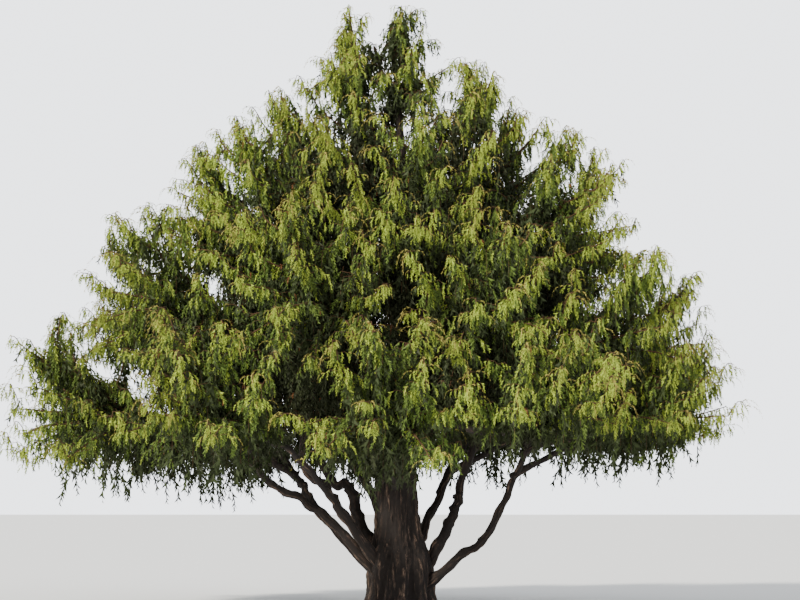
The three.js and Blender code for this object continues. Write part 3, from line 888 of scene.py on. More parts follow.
def trunk_mesh():
    """The trunk on level rings, fluted like several stems grown into one."""
    low, high = np.arange(0, FINE_TOP, ROW), np.arange(FINE_TOP, trunk_heights[-1], HIGH_ROW)
    heights = np.concatenate([low, high, [trunk_heights[-1]]])
    samples = trunk_path(np.linspace(0, 1, TRUNK_SAMPLES))
    centres = np.stack([np.interp(heights, samples[:, 2], samples[:, axis]) for axis in range(3)], axis=1)
    centres[:, 2] = heights
    angles = np.arange(TRUNK_SIDES) * 2 * math.pi / TRUNK_SIDES
    depth = FLUTE_DEPTH * np.clip(1 - heights / FLUTE_TOP, 0, 1)
    twisted = angles[None] - heights[:, None] / FLUTE_TWIST
    lobes = np.abs(np.cos(FLUTES / 2 * twisted)) ** FLUTE_CREASE
    uneven = UNEVEN * np.sin(3 * angles[None] + heights[:, None])
    flutes = 1 + depth[:, None] * (lobes - FLUTE_MIDDLE + uneven)
    radii = np.interp(heights, trunk_heights, trunk_radii)
    padded = np.pad(radii, SMOOTHED // 2, mode="edge")
    smooth = np.convolve(padded, np.ones(SMOOTHED) / SMOOTHED, mode="valid")
    across = np.tile([1.0, 0, 0], (len(heights), 1))
    over = np.tile([0, 1.0, 0], (len(heights), 1))
    # the creases between the flutes, which the bark material paints near-black as shade
    groove = np.clip(1 - lobes / GROOVE_EDGE, 0, 1) * np.clip(2 - 2 * heights / FLUTE_TOP, 0, 1)[:, None]
    return tube_mesh("bark_trunk", centres, smooth[:, None] * flutes, across, over, TRUNK_SIDES, groove)


# %% Relief of the bark
MOST_RELIEF = 0.034  # depth of the deepest furrows, on the thickest wood
LOWEST_PLACE = (-100, -100, 0)  # relief never pushes the bark below the flat cut at ground level


def bark_relief():
    """Pushes the surface in along furrows, and keeps their depth and the grooves as an attribute of painted
    shade.
    """
    inputs = [("Depth", "Float"), ("Furrow Width", "Float"), ("Lumps", "Float"), ("Material", "Material")]
    tree, given = new_tree("bark relief", inputs)
    grain = attribute(tree, "grain", "FLOAT_VECTOR")
    field = noise(tree, grain, scale=1.0, detail=3.0, roughness=0.55, distortion=0.4)
    off_line = math_node(tree, "ABSOLUTE", math_node(tree, "SUBTRACT", field, 0.5))
    nearness = math_node(tree, "DIVIDE", off_line, given["Furrow Width"])
    furrow = math_node(tree, "SUBTRACT", 1.0, nearness, clamp=True)
    lump = math_node(tree, "SUBTRACT", noise(tree, grain, scale=0.35), 0.5)
    sunk = math_node(tree, "MULTIPLY", furrow, -1.0)
    lifted = math_node(tree, "MULTIPLY", lump, given["Lumps"])
    both = math_node(tree, "ADD", sunk, lifted)
    girth = math_node(tree, "MULTIPLY", attribute(tree, "girth"), given["Depth"])
    push = math_node(tree, "MULTIPLY", both, math_node(tree, "MINIMUM", girth, MOST_RELIEF))
    feeds = {0: wire(tree, "GeometryNodeInputNormal", {}, "Normal"), "Scale": push}
    offset = wire(tree, "ShaderNodeVectorMath", feeds, 0, operation="SCALE")
    moved = wire(tree, "GeometryNodeSetPosition", {"Geometry": given["Geometry"], "Offset": offset})
    place = wire(tree, "GeometryNodeInputPosition", {}, 0)
    above = wire(tree, "ShaderNodeVectorMath", {0: place, 1: LOWEST_PLACE}, 0, operation="MAXIMUM")
    cut = wire(tree, "GeometryNodeSetPosition", {"Geometry": moved, "Position": above})
    # what the bark material paints near-black as shade: the furrows and the grooves between the flutes
    dark = math_node(tree, "MAXIMUM", furrow, attribute(tree, "groove"))
    feeds = {"Geometry": cut, "Name": "furrow", "Value": dark}
    stored = wire(tree, "GeometryNodeStoreNamedAttribute", feeds)
    smooth = wire(tree, "GeometryNodeSetShadeSmooth", {"Geometry": stored})
    finish_tree(tree, smooth, given["Material"])
    return tree


relief = bark_relief()
RELIEF = {"Depth": 0.14, "Furrow Width": 0.14, "Lumps": 2.6, "Material": bark}
settle(run_tree(trunk_mesh(), relief, "bark_trunk", RELIEF), ["trunk"])
for name, limb in limbs.items():
    mesh = limb_mesh(name, *limb, SWELL if name.startswith("stem") else BOUGH_SWELL)
    settle(run_tree(mesh, relief, f"bark_{name}", RELIEF), [name])

# %% [markdown]
# ## Growing the crown
#
# A mass of foliage on this tree is a plume of plumes. Its leader bears arms all round, each arm bears
# shoots, and every shoot rises a little, arches over and nods. The arms near the top of the crown, and a few
# on the shoulder of every mass, stand up like small spires. Sprays hang from arms and shoots like a fringe,
# so the crown is built of small overlapping fringes with dark gaps under them. Long branchlets fall straight
# down from the inner wood and fill the shade. Python grows these lines, because each one is tested against
# the mass's own space. Geometry Nodes then turn the lines into twigs and hang the sprays.

# %% Lines of the branches
rng = np.random.default_rng(SEED)
box_low, box_high = (np.array(corner) for corner in cad_box)
HIGH_SHARE = 0.75  # the high tips stand out from the dome as spires, so it runs this far out below them
DOME_TOP = 0.5  # reach of the dome at the height of the tallest tip
OVERLAP = 0.12  # how far the finest twigs may reach past their mass's space
INSIDE_BOX = 0.12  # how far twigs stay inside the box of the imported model, so that their sprays fit it
STRAY = 0.3  # how far the direction of an arm or a twig may stray, in radians
# painted light that picks each spray's green: lighter outside and on top, painted shade deep inside the
# crown
LEAST_LIT = 0.23  # lightness in the middle of a mass, at its hem
LIT_OUT = 0.36  # how much lighter a mass is on its outside
LIT_FACING = 0.2  # and on the side that faces away from the trunk
LIT_RAISED = 0.24  # and at its apex
SHADE_EDGE = 0.82  # how far out in the dome the shade inside the crown begins
SHADE_DEPTH = 0.4  # how much further in it is deepest
SHADE_INSIDE = 0.55  # and how much darker it is there


class Lines:
    """Branch lines with values at every point: its girth and light, and the size and lean of its sprays."""

    def __init__(self):
        self.points, self.edges = [], []
        self.values = {"girth": [], "light": [], "size": [], "yaw": []}

    def add(self, points, girth, light=0.0, size=1.0, yaw=0.0):
        first, count = len(self.points), len(points)
        self.points.extend(points)
        self.edges.extend((first + i, first + i + 1) for i in range(count - 1))
        given = {"girth": np.linspace(*girth, count), "light": light, "size": size, "yaw": yaw}
        for name, value in given.items():
            self.values[name].extend(np.broadcast_to(value, count))

    def mesh(self, name):
        return mesh_of(name, self.points, self.edges, **self.values)


class Growth:
    """All the lines of a tier: thick wood, thin twigs, long branchlets, leafy shoots and nodding tips."""

    def __init__(self):
        self.wood, self.twigs, self.hangers, self.leafy, self.nods = (Lines() for _ in range(5))


def at_shares(line, shares):
    """Points at shares of a line's length, and its whole length."""
    steps = np.concatenate([[0], np.cumsum(np.linalg.norm(np.diff(line, axis=0), axis=1))])
    wanted = np.asarray(shares) * steps[-1]
    return np.stack([np.interp(wanted, steps, line[:, axis]) for axis in range(3)], axis=1), steps[-1]


def raised(mass, point):
    """How high a point lies in its mass: 0 at the hem and 1 at the apex."""
    return float(np.clip((point[2] - mass.hem[2]) / (mass.apex[2] - mass.hem[2]), 0, 1.1))


def dome_reach(angle, height):
    """How far out the crown's dome lies at an angle and a height: it runs through the tips of the tiers."""
    heights = [tip_height(tier, angle) for tier in TIERS]
    edges = [tier_edge(tier, angle) for tier in TIERS]
    edges[-1] *= HIGH_SHARE
    return float(np.interp(height, [*heights, TOPS[0][2]], [*edges, DOME_TOP]))


def dome_share(point):
    """How far out in the crown's dome a point lies: 0 at the trunk and 1 on the dome."""
    return math.hypot(*point[:2]) / dome_reach(math.atan2(point[1], point[0]), point[2])


def lightness(mass, point):
    """The painted light at a point: from 0, painted shade deep inside the crown, to 1 on its sunny outside.
    """
    aside = point - mix(mass.hem, mass.apex, raised(mass, point))
    radial = math.hypot(aside[0], aside[1]) / mass.tier["sprawl"]
    facing = np.clip(aside.dot(mass.outward) / mass.tier["sprawl"], -1, 1)
    lit = LEAST_LIT + LIT_OUT * min(1, radial) + LIT_FACING * facing + LIT_RAISED * raised(mass, point)
    inside = np.clip((SHADE_EDGE - dome_share(point)) / SHADE_DEPTH, 0, 1)
    return lit + mass.tier["glow"] - SHADE_INSIDE * inside


def in_box(points):
    return (points > box_low + INSIDE_BOX).all() and (points < box_high - INSIDE_BOX).all()


def fits(mass, points):
    """Whether points stay in a mass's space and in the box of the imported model."""
    return in_box(points) and room(mass, points).min() > -OVERLAP


# %% Heads and arms
FULLNESS = 0.45  # as in the source: how quickly a mass widens below its apex
HEAD_LIFT = 0.12  # how far above the skirt an arm ends
HEADS_DOWN = 0.92  # how far down from apex to hem the heads go
HEADS_EVEN = 0.9  # below 1, they stand closer together near the hem
FIRST_HEAD = 0.7  # place of the first one, where the next is at 1.7
HEADS_WIDE = (0.78, 1.08)  # how far out they stand, as shares of the skirt's width
DRAWN_IN = np.arange(1, 0.3, -0.05)  # shares of their way from the heart that are tried in turn
OUTWARD = 0.3  # how much closer together the heads stand on the outer side of a mass
SPIRE_RISES = (0.55, 1.05)  # how high spires rise, as shares of their tier's rise
SPIRE_OUT = (0.12, 0.45)  # and how far out they stand, as shares of the mass's sprawl
SPIRES_APART = 1.5  # radians from one to the next
LEADER_SAMPLES = 40
ARM_STEPS = 7
ARM_RISE = 0.55  # how much higher than its base an arm ends, where it can, by its run
TOP_RISE = 1.1  # the same near the top of the crown, where arms rise like small spires
ARM_ARCH = 0.2  # how high an arm arches, for its length
ARM_BEND = 0.5  # where it bends, as a share of its run
UPRIGHT_BEND = (0.8, 0.35)  # where an upright arm bends, as shares of its run and of its rise
UPRIGHT_ARCH = 0.1  # and how high it arches, for its length
ARM_RADII = (0.014, 0.004)
HORN_OUT = np.array([0.1, 0.23, 0.34, 0.4])  # the free end of an arm rises past its head: how far out
HORN_RISE = np.array([0.14, 0.25, 0.26, 0.16])  # and how high, before its tip nods
HORN_SIZES = (0.65, 1.2)  # how much smaller or larger than usual a free end is
HORN_SHRINKS = (1, 0.7, 0.45, 0.2, 0.05)  # the sizes that are tried in turn, until one fits
OUT_BY_STEEP = (1.3, 0.35)  # how far out a free end goes, from the flattest to the steepest
RISE_BY_STEEP = (0.5, 1.4)  # and how high
DOME_SLACK = 0.97  # how far out in the dome a free end may reach
PAST_HEAD = 0.05  # or how much further out than its arm's head
OUTSIDE = 0.9  # how far out in the dome the outside of the crown begins
STEEP = 0.4  # how steeply the free ends on the outside of the crown stand up, at least
STEEPEST = 0.75  # and those near its top


def is_small(mass):
    return mass.tier["name"] in ("high", "top")


def facing_angle(mass):
    return math.atan2(mass.outward[1], mass.outward[0])


def head_of(mass, k, arms):
    """Where arm k of a mass ends: on the skirt of the mass's tent, drawn in to the mass's own space."""
    down = HEADS_DOWN * ((k + FIRST_HEAD) / arms) ** HEADS_EVEN
    turn = math.remainder(k * GOLDEN_TURN, 2 * math.pi) / math.pi
    angle = facing_angle(mass) + math.pi * turn * abs(turn) ** OUTWARD + rng.uniform(-STRAY, STRAY)
    wide = mass.tier["sprawl"] * down**FULLNESS * rng.uniform(*HEADS_WIDE)
    offset = mix(mass.apex, mass.hem, down) + bearing(angle) * wide + UP * HEAD_LIFT - mass.heart
    for share in DRAWN_IN:
        if fits(mass, (mass.heart + offset * share)[None]):
            return mass.heart + offset * share
    return None


def spire_of(mass, k, spires):
    """Where rising arm k of a mass ends: above its shoulder, on the slope of the crown."""
    rise = mix(*mass.tier["rise"], to_the_right(mass.tip)) * rng.uniform(*SPIRE_RISES)
    angle = facing_angle(mass) + (k - (spires - 1) / 2) * SPIRES_APART + rng.uniform(-STRAY, STRAY)
    out = mass.tier["sprawl"] * rng.uniform(*SPIRE_OUT)
    head = mass.apex + bearing(angle) * out + UP * rise
    return np.clip(head, box_low + 2 * INSIDE_BOX, box_high - 2 * INSIDE_BOX)


def arm_line(mass, head, upright, tall):
    """An arm from the leader to a head: it leaves low, arches out and nods, or ends upright."""
    leader = mass.path(np.linspace(mass.start, 1, LEADER_SAMPLES))
    rise = TOP_RISE if is_small(mass) else ARM_RISE
    below = leader[leader[:, 2] < head[2] - rise * math.hypot(*(head - mass.heart)[:2])]
    below = below if len(below) else leader[:1]
    base = below[np.linalg.norm(below - head, axis=1).argmin()]
    span = np.linalg.norm(head - base)
    across, up = UPRIGHT_BEND if upright else (ARM_BEND, ARM_BEND)
    bend = mix(base, head, across)
    bend[2] = mix(base[2], head[2], up) + (UPRIGHT_ARCH if upright else ARM_ARCH) * span
    steps = np.linspace(0, 1, ARM_STEPS)[:, None]
    line = (1 - steps) ** 2 * base + 2 * steps * (1 - steps) * bend + steps**2 * head
    away = (head - base) * [1, 1, 0] / max(1e-6, math.hypot(*(head - base)[:2]))
    return np.vstack([line, horn_from(head, away, tall, STEEPEST if is_small(mass) else STEEP)])


def horn_from(head, away, tall, least_steep):
    """The free end of an arm: some stand up like a spire, others arch out, and each nods at its tip."""
    outside = tall > 1 or dome_share(head) > OUTSIDE
    steep = rng.uniform(least_steep if outside else least_steep - STEEP, 1)
    size = rng.uniform(*HORN_SIZES) * tall
    for shrink in HORN_SHRINKS:
        out = HORN_OUT * mix(*OUT_BY_STEEP, steep) * size * shrink
        rise = HORN_RISE * mix(*RISE_BY_STEEP, steep) * size * shrink
        horn = head + away * out[:, None] + UP * rise[:, None]
        if in_box(horn) and dome_share(horn[2]) < max(DOME_SLACK, dome_share(head) + PAST_HEAD):
            break
    return horn


# %% Shoots and long branchlets
SHOOT_GAP = 0.1  # distance between shoots
SPIRE_GAP = 0.08  # the same on an upright arm
LEADER_GAP = 0.05  # and on a leader
LEAST_SHOOT = 0.05  # length of the shoots at the tip of their branch
SHOOT_SIZES = (0.75, 1.2)  # how much shorter or longer than usual a shoot is
SHOOT_SHRINKS = (1, 0.75, 0.5)  # the sizes that are tried in turn, until one fits
SAG = 0.32  # how much the shoots at the hem of a mass sag
SAG_SIZES = (0.3, 1.3)  # how much less or more than usual each sags
SPRAY_ROOM = 0.15  # room for the sprays under a shoot
TAPER = 0.33  # how quickly shoots get longer below the tip of their branch
SPIRE_TAPER = 0.26  # and on an upright arm, which ends in a point
TIP_SIZES = (1.15, 0.7)  # sizes of the sprays at the base and at the tip of a branch
UPRIGHT_ABOVE = 0.35  # arms that end above this share of a mass's height stand up like small spires
SHOOT_RADII = (0.005, 0.002)
SHOOT_OUT = np.array([0, 0.35, 0.7, 0.95, 1.08])  # the arch of a shoot: how far out, by its length
SHOOT_RISE = np.array([0, 0.18, 0.18, 0.04, -0.12])  # and how high
ARM_SHADE_TO_LIGHT = (-0.15, 0.17)  # how much darker an arm is painted at its base, as shade, and lighter at its end, as sunlight
SHOOT_SHADE_TO_LIGHT = np.linspace(-0.1, 0.08, 5)  # the same painted shade and sunlight along one shoot
BRANCH_TONE = 0.08  # how much darker or lighter than usual a whole branch is
END_SIZE = 0.6  # size of the sprays at the end of a shoot, an arm or a leader, where they start at 1
NOD_LIGHT = 0.3  # how much lighter the nodding tip of a shoot is
NOD_SIZE = 0.8
HANG_REACH = (0.03, 0.36)  # how far out the last branchlet hangs, and how quickly that grows from there
HANG_FALL = (0.14, 0.8)  # and how far down
HANG_REACHES = (0.7, 1.15)  # how much less or more than usual each reaches out
HANG_FALLS = (0.7, 1.12)  # and falls
HANG_SHRINKS = (1, 0.8, 0.62, 0.45)  # tried in turn, until one fits
HANG_DIP = 0.06  # how much a branchlet dips on its way out
HANG_DRIFT = 0.1  # how much further out it drifts, for its fall
HANG_BELLY = 0.025  # how far its middle stands out
TIP_FULL = 0.28  # from this far below the tip of the branch on, branchlets have full sprays
HEM_WAVES = 9  # the hem of the crown waves this many times round the tree
HEM_WAVE = 0.13
HEM_RIPPLES = 17  # with smaller ripples on the waves
HEM_RIPPLE = 0.1
HEM_SLACK = 0.1  # how far below the hem the outer twigs may end
STEM_VIEW = 0.3  # how far above it the inner twigs end, so that the stems show


def above_hem(mass, points):
    """How high the lowest point lies above the hem of the crown, which waves as it goes round."""
    angle = np.arctan2(points[:, 1], points[:, 0])
    wave = HEM_WAVE * np.sin(HEM_WAVES * angle + 2) + HEM_RIPPLE * np.sin(HEM_RIPPLES * angle)
    return (points[:, 2] - mass.floor - wave).min()


def clear_of_floor(mass, points):
    return in_box(points) and above_hem(mass, points) > -HEM_SLACK


def clear_of_stems(mass, points):
    """Inside the crown, twigs end higher, so that the stems show below them."""
    return above_hem(mass, points) > STEM_VIEW


def bear_shoots(mass, growth, line, longest, first, gap=SHOOT_GAP, test=fits, shade=0.0, taper=TAPER):
    """Shoots all round a branch line, shorter towards its tip."""
    _, length = at_shares(line, [0])
    count = max(3, round(length * (1 - first) / gap))
    shares = first + (1 - first) * (np.arange(count) + 0.5) / count
    starts, _ = at_shares(line, shares)
    turn = rng.uniform(0, 2 * math.pi)
    # a random tone for the whole branch, less the painted shade that it is given
    tone = rng.uniform(-BRANCH_TONE, BRANCH_TONE) - shade
    for i, (start, share) in enumerate(zip(starts, shares)):
        long = min(longest, LEAST_SHOOT + taper * length * (1 - share)) * rng.uniform(*SHOOT_SIZES)
        angle = turn + i * GOLDEN_TURN + rng.uniform(-STRAY, STRAY)
        sag = mix(SAG, 0.0, raised(mass, start)) * rng.uniform(*SAG_SIZES)
        for shrink in SHOOT_SHRINKS:
            size = long * shrink
            rise = (SHOOT_RISE - sag * SHOOT_OUT**2) * size
            points = start + bearing(angle) * (SHOOT_OUT * size)[:, None] + UP * rise[:, None]
            if test(mass, points[2:] - UP * SPRAY_ROOM):
                light = lightness(mass, points[2]) + mix(*ARM_SHADE_TO_LIGHT, share) + tone
                growth.twigs.add(points[[0, 2, 4]], SHOOT_RADII)
                sizes = np.linspace(1, END_SIZE, 5) * mix(*TIP_SIZES, share)
                growth.leafy.add(points, SHOOT_RADII, light + SHOOT_SHADE_TO_LIGHT, sizes, angle)
                growth.nods.add(points[-2:], SHOOT_RADII, light + NOD_LIGHT, NOD_SIZE, angle)
                break


def hang(mass, growth, line, spacing, most_reach, most_fall, shade=0.0, test=fits):
    """Hangs long branchlets all along a branch line."""
    _, length = at_shares(line, [0])
    count = max(3, round(length / spacing))
    shares = (np.arange(count) + 0.5) / count
    starts, _ = at_shares(line, shares)
    turn = rng.uniform(0, 2 * math.pi)
    for i, (start, share) in enumerate(zip(starts, shares)):
        from_tip = length * (1 - share)
        reach = min(most_reach, HANG_REACH[0] + HANG_REACH[1] * from_tip) * rng.uniform(*HANG_REACHES)
        fall = min(most_fall, HANG_FALL[0] + HANG_FALL[1] * from_tip) * rng.uniform(*HANG_FALLS)
        angle = turn + i * GOLDEN_TURN + rng.uniform(-STRAY, STRAY)
        away = bearing(angle)
        for shrink in HANG_SHRINKS:
            out, drop = reach * shrink, fall * shrink
            edge = start + away * out - UP * HANG_DIP * out
            end = edge + away * HANG_DRIFT * drop - UP * drop
            half = mix(edge, end, 0.5) + away * HANG_BELLY
            if test(mass, np.array([half, end])):
                light = lightness(mass, edge) - shade
                points = np.array([start, edge, half, end])
                growth.twigs.add(points, SHOOT_RADII)
                growth.hangers.add(points, SHOOT_RADII, light, min(1, 1 - TIP_FULL + from_tip), angle)
                break


# %% Grow every mass
LEADER_STEPS = 14
LEADER_TIP_RADIUS = 0.004
LEADER_HANGS = 9  # branchlets hang from this many of the leader's points
LEAF_START = 0.3  # share of a leader's or an arm's length where its own sprays begin
LEADER_LEAVES = 12  # points on a leader that its own sprays hang along
LINING = (0.15, 0.78)  # part of an arm that sprays in painted shade hang from, inside its fringes
LINING_LIGHT = 0.12  # how light those sprays are
LINING_SIZE = 0.8
ARM_SIZES = (0.6, 1.35)  # how much smaller or larger than usual an arm's shoots are
LONGEST = 0.34  # the longest shoots on an arm
LONGEST_SMALL = 0.28  # and on an arm near the top
LONGEST_SPIRE = 0.3  # and on a spire, or on an arm that fills a gap
SPIRE_TALL = 1.6  # how much longer the free end of a spire is than that of an arm
INSIDE_START = 0.45  # share of a limb where its shaded twigs begin
INNER_OUT = (0.45, 0.75)  # how far out the shaded arms on a limb go
INNER_RISE = (0.5, 0.9)  # and how far up
INNER_BEND = (0.6, 0.25)  # where they bend, as a share of their way out, and how far up that is
grown = {}


def add_arm(mass, growth, head, upright, longest, test=fits, shade=0.0, tall=1.0):
    arm = arm_line(mass, head, upright, tall)
    growth.wood.add(arm, ARM_RADII)
    longest = longest * rng.uniform(*ARM_SIZES)
    gap, taper = (SPIRE_GAP, SPIRE_TAPER) if upright else (SHOOT_GAP, TAPER)
    bear_shoots(mass, growth, arm, longest, first=0.2, gap=gap, test=test, shade=shade, taper=taper)
    hang(mass, growth, arm[2:6], spacing=0.3, most_reach=0.12, most_fall=0.7, shade=0.1, test=test)
    yaw = math.atan2(*(arm[-1] - arm[0])[1::-1])
    leafy, _ = at_shares(arm, np.linspace(LEAF_START, 1, ARM_STEPS))
    light = lightness(mass, head) + 0.1 - shade
    growth.leafy.add(leafy, ARM_RADII, light, np.linspace(1, END_SIZE, ARM_STEPS), yaw)
    growth.nods.add(arm[-2:], ARM_RADII, light=1.0 - shade, size=1.2, yaw=yaw)
    shaded, _ = at_shares(arm, np.linspace(*LINING, 5))
    growth.hangers.add(shaded, ARM_RADII, LINING_LIGHT, LINING_SIZE, yaw)


def grow(mass, growth):
    """Grows a mass's leader, arms, shoots and branchlets."""
    small = is_small(mass)
    leader = mass.path(np.linspace(mass.start, 1, LEADER_STEPS))
    growth.wood.add(leader, (mass.radius, LEADER_TIP_RADIUS))
    inner = mass.path(np.linspace(max(mass.start, BOUGH_END), 1, LEADER_STEPS))
    bear_shoots(mass, growth, inner, longest=0.4, first=0.3, gap=LEADER_GAP)
    fall = 0.8 if small else 1.0
    hang(mass, growth, inner[:LEADER_HANGS], spacing=0.11, most_reach=0.35, most_fall=fall, shade=0.12)
    leafy, _ = at_shares(inner, np.linspace(LEAF_START, 1, LEADER_LEAVES))
    yaw = facing_angle(mass)
    sizes = np.linspace(1, END_SIZE, LEADER_LEAVES)
    growth.leafy.add(leafy, ARM_RADII, lightness(mass, mass.tip), sizes, yaw)
    ends, _ = at_shares(inner, [0.95, 1])
    growth.nods.add(ends, ARM_RADII, light=1.0, size=1.5, yaw=yaw)
    longest = LONGEST_SMALL if small else LONGEST
    for k in range(mass.tier["arms"]):
        head = head_of(mass, k, mass.tier["arms"])
        if head is not None:
            add_arm(mass, growth, head, raised(mass, head) > UPRIGHT_ABOVE, longest)
    for k in range(mass.tier["spires"]):
        head = spire_of(mass, k, mass.tier["spires"])
        add_arm(mass, growth, head, True, LONGEST_SPIRE, clear_of_floor, tall=SPIRE_TALL)
    grow_inside(mass, growth)


def grow_inside(mass, growth):
    """Shaded arms and branchlets on a mass's limb. Arms that start too near the hem aren't kept."""
    before = mass.start if mass.start else BOUGH_END
    limb = mass.path(np.linspace(before * INSIDE_START, before, 20))
    hang(mass, growth, limb, spacing=0.16, most_reach=0.4, most_fall=0.85, shade=0.25, test=clear_of_stems)
    if is_small(mass):
        return
    for k, start in enumerate(limb[3::5]):
        angle = facing_angle(mass) + k * GOLDEN_TURN
        out = bearing(angle) * rng.uniform(*INNER_OUT)
        bend = start + out * INNER_BEND[0] + UP * INNER_BEND[1]
        arm = np.array([start, bend, start + out + UP * rng.uniform(*INNER_RISE)])
        kept = growth if clear_of_stems(mass, arm[:1]) else Growth()
        kept.wood.add(arm, ARM_RADII)
        hang(mass, kept, arm, spacing=0.14, most_reach=0.35, most_fall=0.8, shade=0.6, test=clear_of_stems)


def growth_of(mass):
    tier = "top" if is_small(mass) else mass.tier["name"]
    return grown.setdefault(tier, Growth())


for mass in masses:
    grow(mass, growth_of(mass))
for tier, growth in grown.items():
    counts = {name: len(lines.points) for name, lines in vars(growth).items()}
    print(tier, counts)

# %% [markdown]
# ## Closing the dome
#
# A tree sends new arms to wherever light comes in, so its crown closes to a smooth dome. The same is done
# here: places are drawn in the dome at random, and where no leafy line is near, the nearest mass grows one
# more arm.

# %% Arms into the gaps
DRAWS = 8000
FILL_PART = (0.15, 0.92)  # the part of the dome, from the trunk out, that is filled
FILL_ABOVE = 0.35  # and how far above the crown's hem it starts
FILL_GAPS = (0.35, 0.33)  # distance to a leafy line that counts as a gap, at the trunk and on the dome
FILL_SHADE = (0.38, 0.06)  # how much darker the added arms are, at the trunk and on the dome


def fill_gaps():
    leafy = np.array([point for growth in grown.values() for point in growth.leafy.points])
    added = 0
    for _ in range(DRAWS):
        angle = rng.uniform(-math.pi, math.pi)
        height = rng.uniform(FLOOR_LEFT, TOPS[0][2])
        share = rng.uniform(*FILL_PART)
        reach = dome_reach(angle, height)
        if rng.uniform(0, TIERS[0]["left"]) > reach * share:
            continue
        point = bearing(angle) * reach * share + UP * height
        mass = masses[np.linalg.norm(hearts - point, axis=1).argmin()]
        if point[2] < mass.floor + FILL_ABOVE or not in_box(point):
            continue
        if np.linalg.norm(leafy - point, axis=1).min() < mix(*FILL_GAPS, share):
            continue
        growth = growth_of(mass)
        before = len(growth.leafy.points)
        upright, shade = raised(mass, point) > UPRIGHT_ABOVE, mix(*FILL_SHADE, share)
        add_arm(mass, growth, point, upright, LONGEST_SPIRE, clear_of_floor, shade)
        leafy = np.vstack([leafy, growth.leafy.points[before:]])
        added += 1
    return added


print("arms into gaps:", fill_gaps())

# %% [markdown]
# ## Sprays of needles
#
# A spray is a soft, rope-like strand: a thin stem that leaves sideways and turns down, set all round with
# little awl-shaped sprigs that point towards its tip. Each sprig is one face that stands on the stem, turned
# by the golden angle from the one before, so a spray looks full from every side. A picture of a spray on a
# flat card would be lighter, but it falls apart when seen from the side. Four sprays of different length and
# bend are enough, because every copy is turned and scaled. Two more, with fewer and larger sprigs, fill the
# shade inside the crown, and two thin ones nod from the tips.

# %% Spray meshes
SPRIG_OUT = 0.039  # how far a sprig's tip stands out from the stem
SPRIG_AHEAD = 0.062  # how far its tip points on along the stem
SPRIG_FOOT = 0.043  # length of its foot on the stem
SPRIG_DROOP = 0.01  # how far its tip hangs down
SPRIG_HEEL = 0.004  # how far the foot reaches to one side of the stem at its start
SPRIG_WIDTH = 0.009  # and to the other side at its end
SPRIG_STRAY = 0.4  # how far a sprig may stray from the golden angle, in radians
SPRIG_TAPER = (1.15, 0.65)  # size of the first sprig, and how much smaller they get along the stem
SPRIG_SIZES = (0.75, 1.25)  # how much smaller or larger than usual a sprig is
CORE = 0.006  # half the width of the stem with its scale leaves
STEM_STEPS = 32
STEM_CURL = 1.3  # how quickly a stem turns straight down


def spray_mesh(name, length, sprigs, leave, size, seed):
    """A spray that leaves at an angle from straight down, with sprigs all round its stem."""
    dice = np.random.default_rng(seed)
    steps = np.linspace(0, 1, STEM_STEPS + 1)
    lean = leave * (1 - steps) ** STEM_CURL
    ahead = np.stack([np.sin(lean), np.zeros(STEM_STEPS + 1), -np.cos(lean)], axis=1)
    travel = np.cumsum((ahead[1:] + ahead[:-1]) / 2, axis=0) * length / STEM_STEPS
    stem = np.concatenate([[[0, 0, 0]], travel])
    half = np.array([0, CORE * size, 0])
    middle = stem[STEM_STEPS // 2]
    corners = [stem[0] - half, stem[0] + half, middle - half, middle + half, stem[-1]]
    faces = [(0, 2, 3, 1), (2, 4, 3)]
    for i in range(sprigs):
        share = (i + 0.2) / sprigs
        k = int(share * STEM_STEPS)
        turn = i * GOLDEN_TURN + dice.uniform(-SPRIG_STRAY, SPRIG_STRAY)
        over = np.cross(ahead[k], [0, 1.0, 0])
        out = math.cos(turn) * np.array([0, 1.0, 0]) + math.sin(turn) * over
        side = np.cross(ahead[k], out)
        scale = size * (SPRIG_TAPER[0] - SPRIG_TAPER[1] * share) * dice.uniform(*SPRIG_SIZES)
        foot = stem[k] + ahead[k] * SPRIG_FOOT * scale
        tip = stem[k] + (ahead[k] * SPRIG_AHEAD + out * SPRIG_OUT - UP * SPRIG_DROOP) * scale
        first = len(corners)
        heel = stem[k] - side * SPRIG_HEEL * scale
        corners.extend([heel, foot + side * SPRIG_WIDTH * scale, tip])
        faces.append((first, first + 1, first + 2))
    return mesh_of(name, corners, faces=faces)


def collection_of(name, *meshes):
    kept = bpy.data.collections.new(name)
    for mesh in meshes:
        kept.objects.link(bpy.data.objects.new(mesh.name, mesh))
    return kept


SPRAYS = collection_of(
    "sprays",
    spray_mesh("spray_a", 0.14, 10, math.radians(62), 1.0, 1),
    spray_mesh("spray_b", 0.18, 12, math.radians(45), 1.0, 2),
    spray_mesh("spray_c", 0.22, 14, math.radians(35), 1.05, 3),
    spray_mesh("spray_d", 0.27, 17, math.radians(42), 1.1, 4),
)
NODS = collection_of(
    "nods",
    spray_mesh("nod_a", 0.2, 11, math.radians(115), 0.5, 7),
    spray_mesh("nod_b", 0.3, 15, math.radians(105), 0.5, 8),
)
INNER_SPRAYS = collection_of(
    "inner sprays",
    spray_mesh("inner_a", 0.22, 9, math.radians(50), 1.12, 5),
    spray_mesh("inner_b", 0.28, 11, math.radians(40), 1.15, 6),
)

# %% [markdown]
# ## Hanging the sprays
#
# One tree hangs every spray. It walks along the branchlets, puts a point at an even spacing, and keeps those
# whose light falls in a window, so the same lines give the inner, the deep, the mid and the light sprays in
# turn, each in its own piece with its own colour. Every spray leans the way its shoot points, give or take a
# turn.

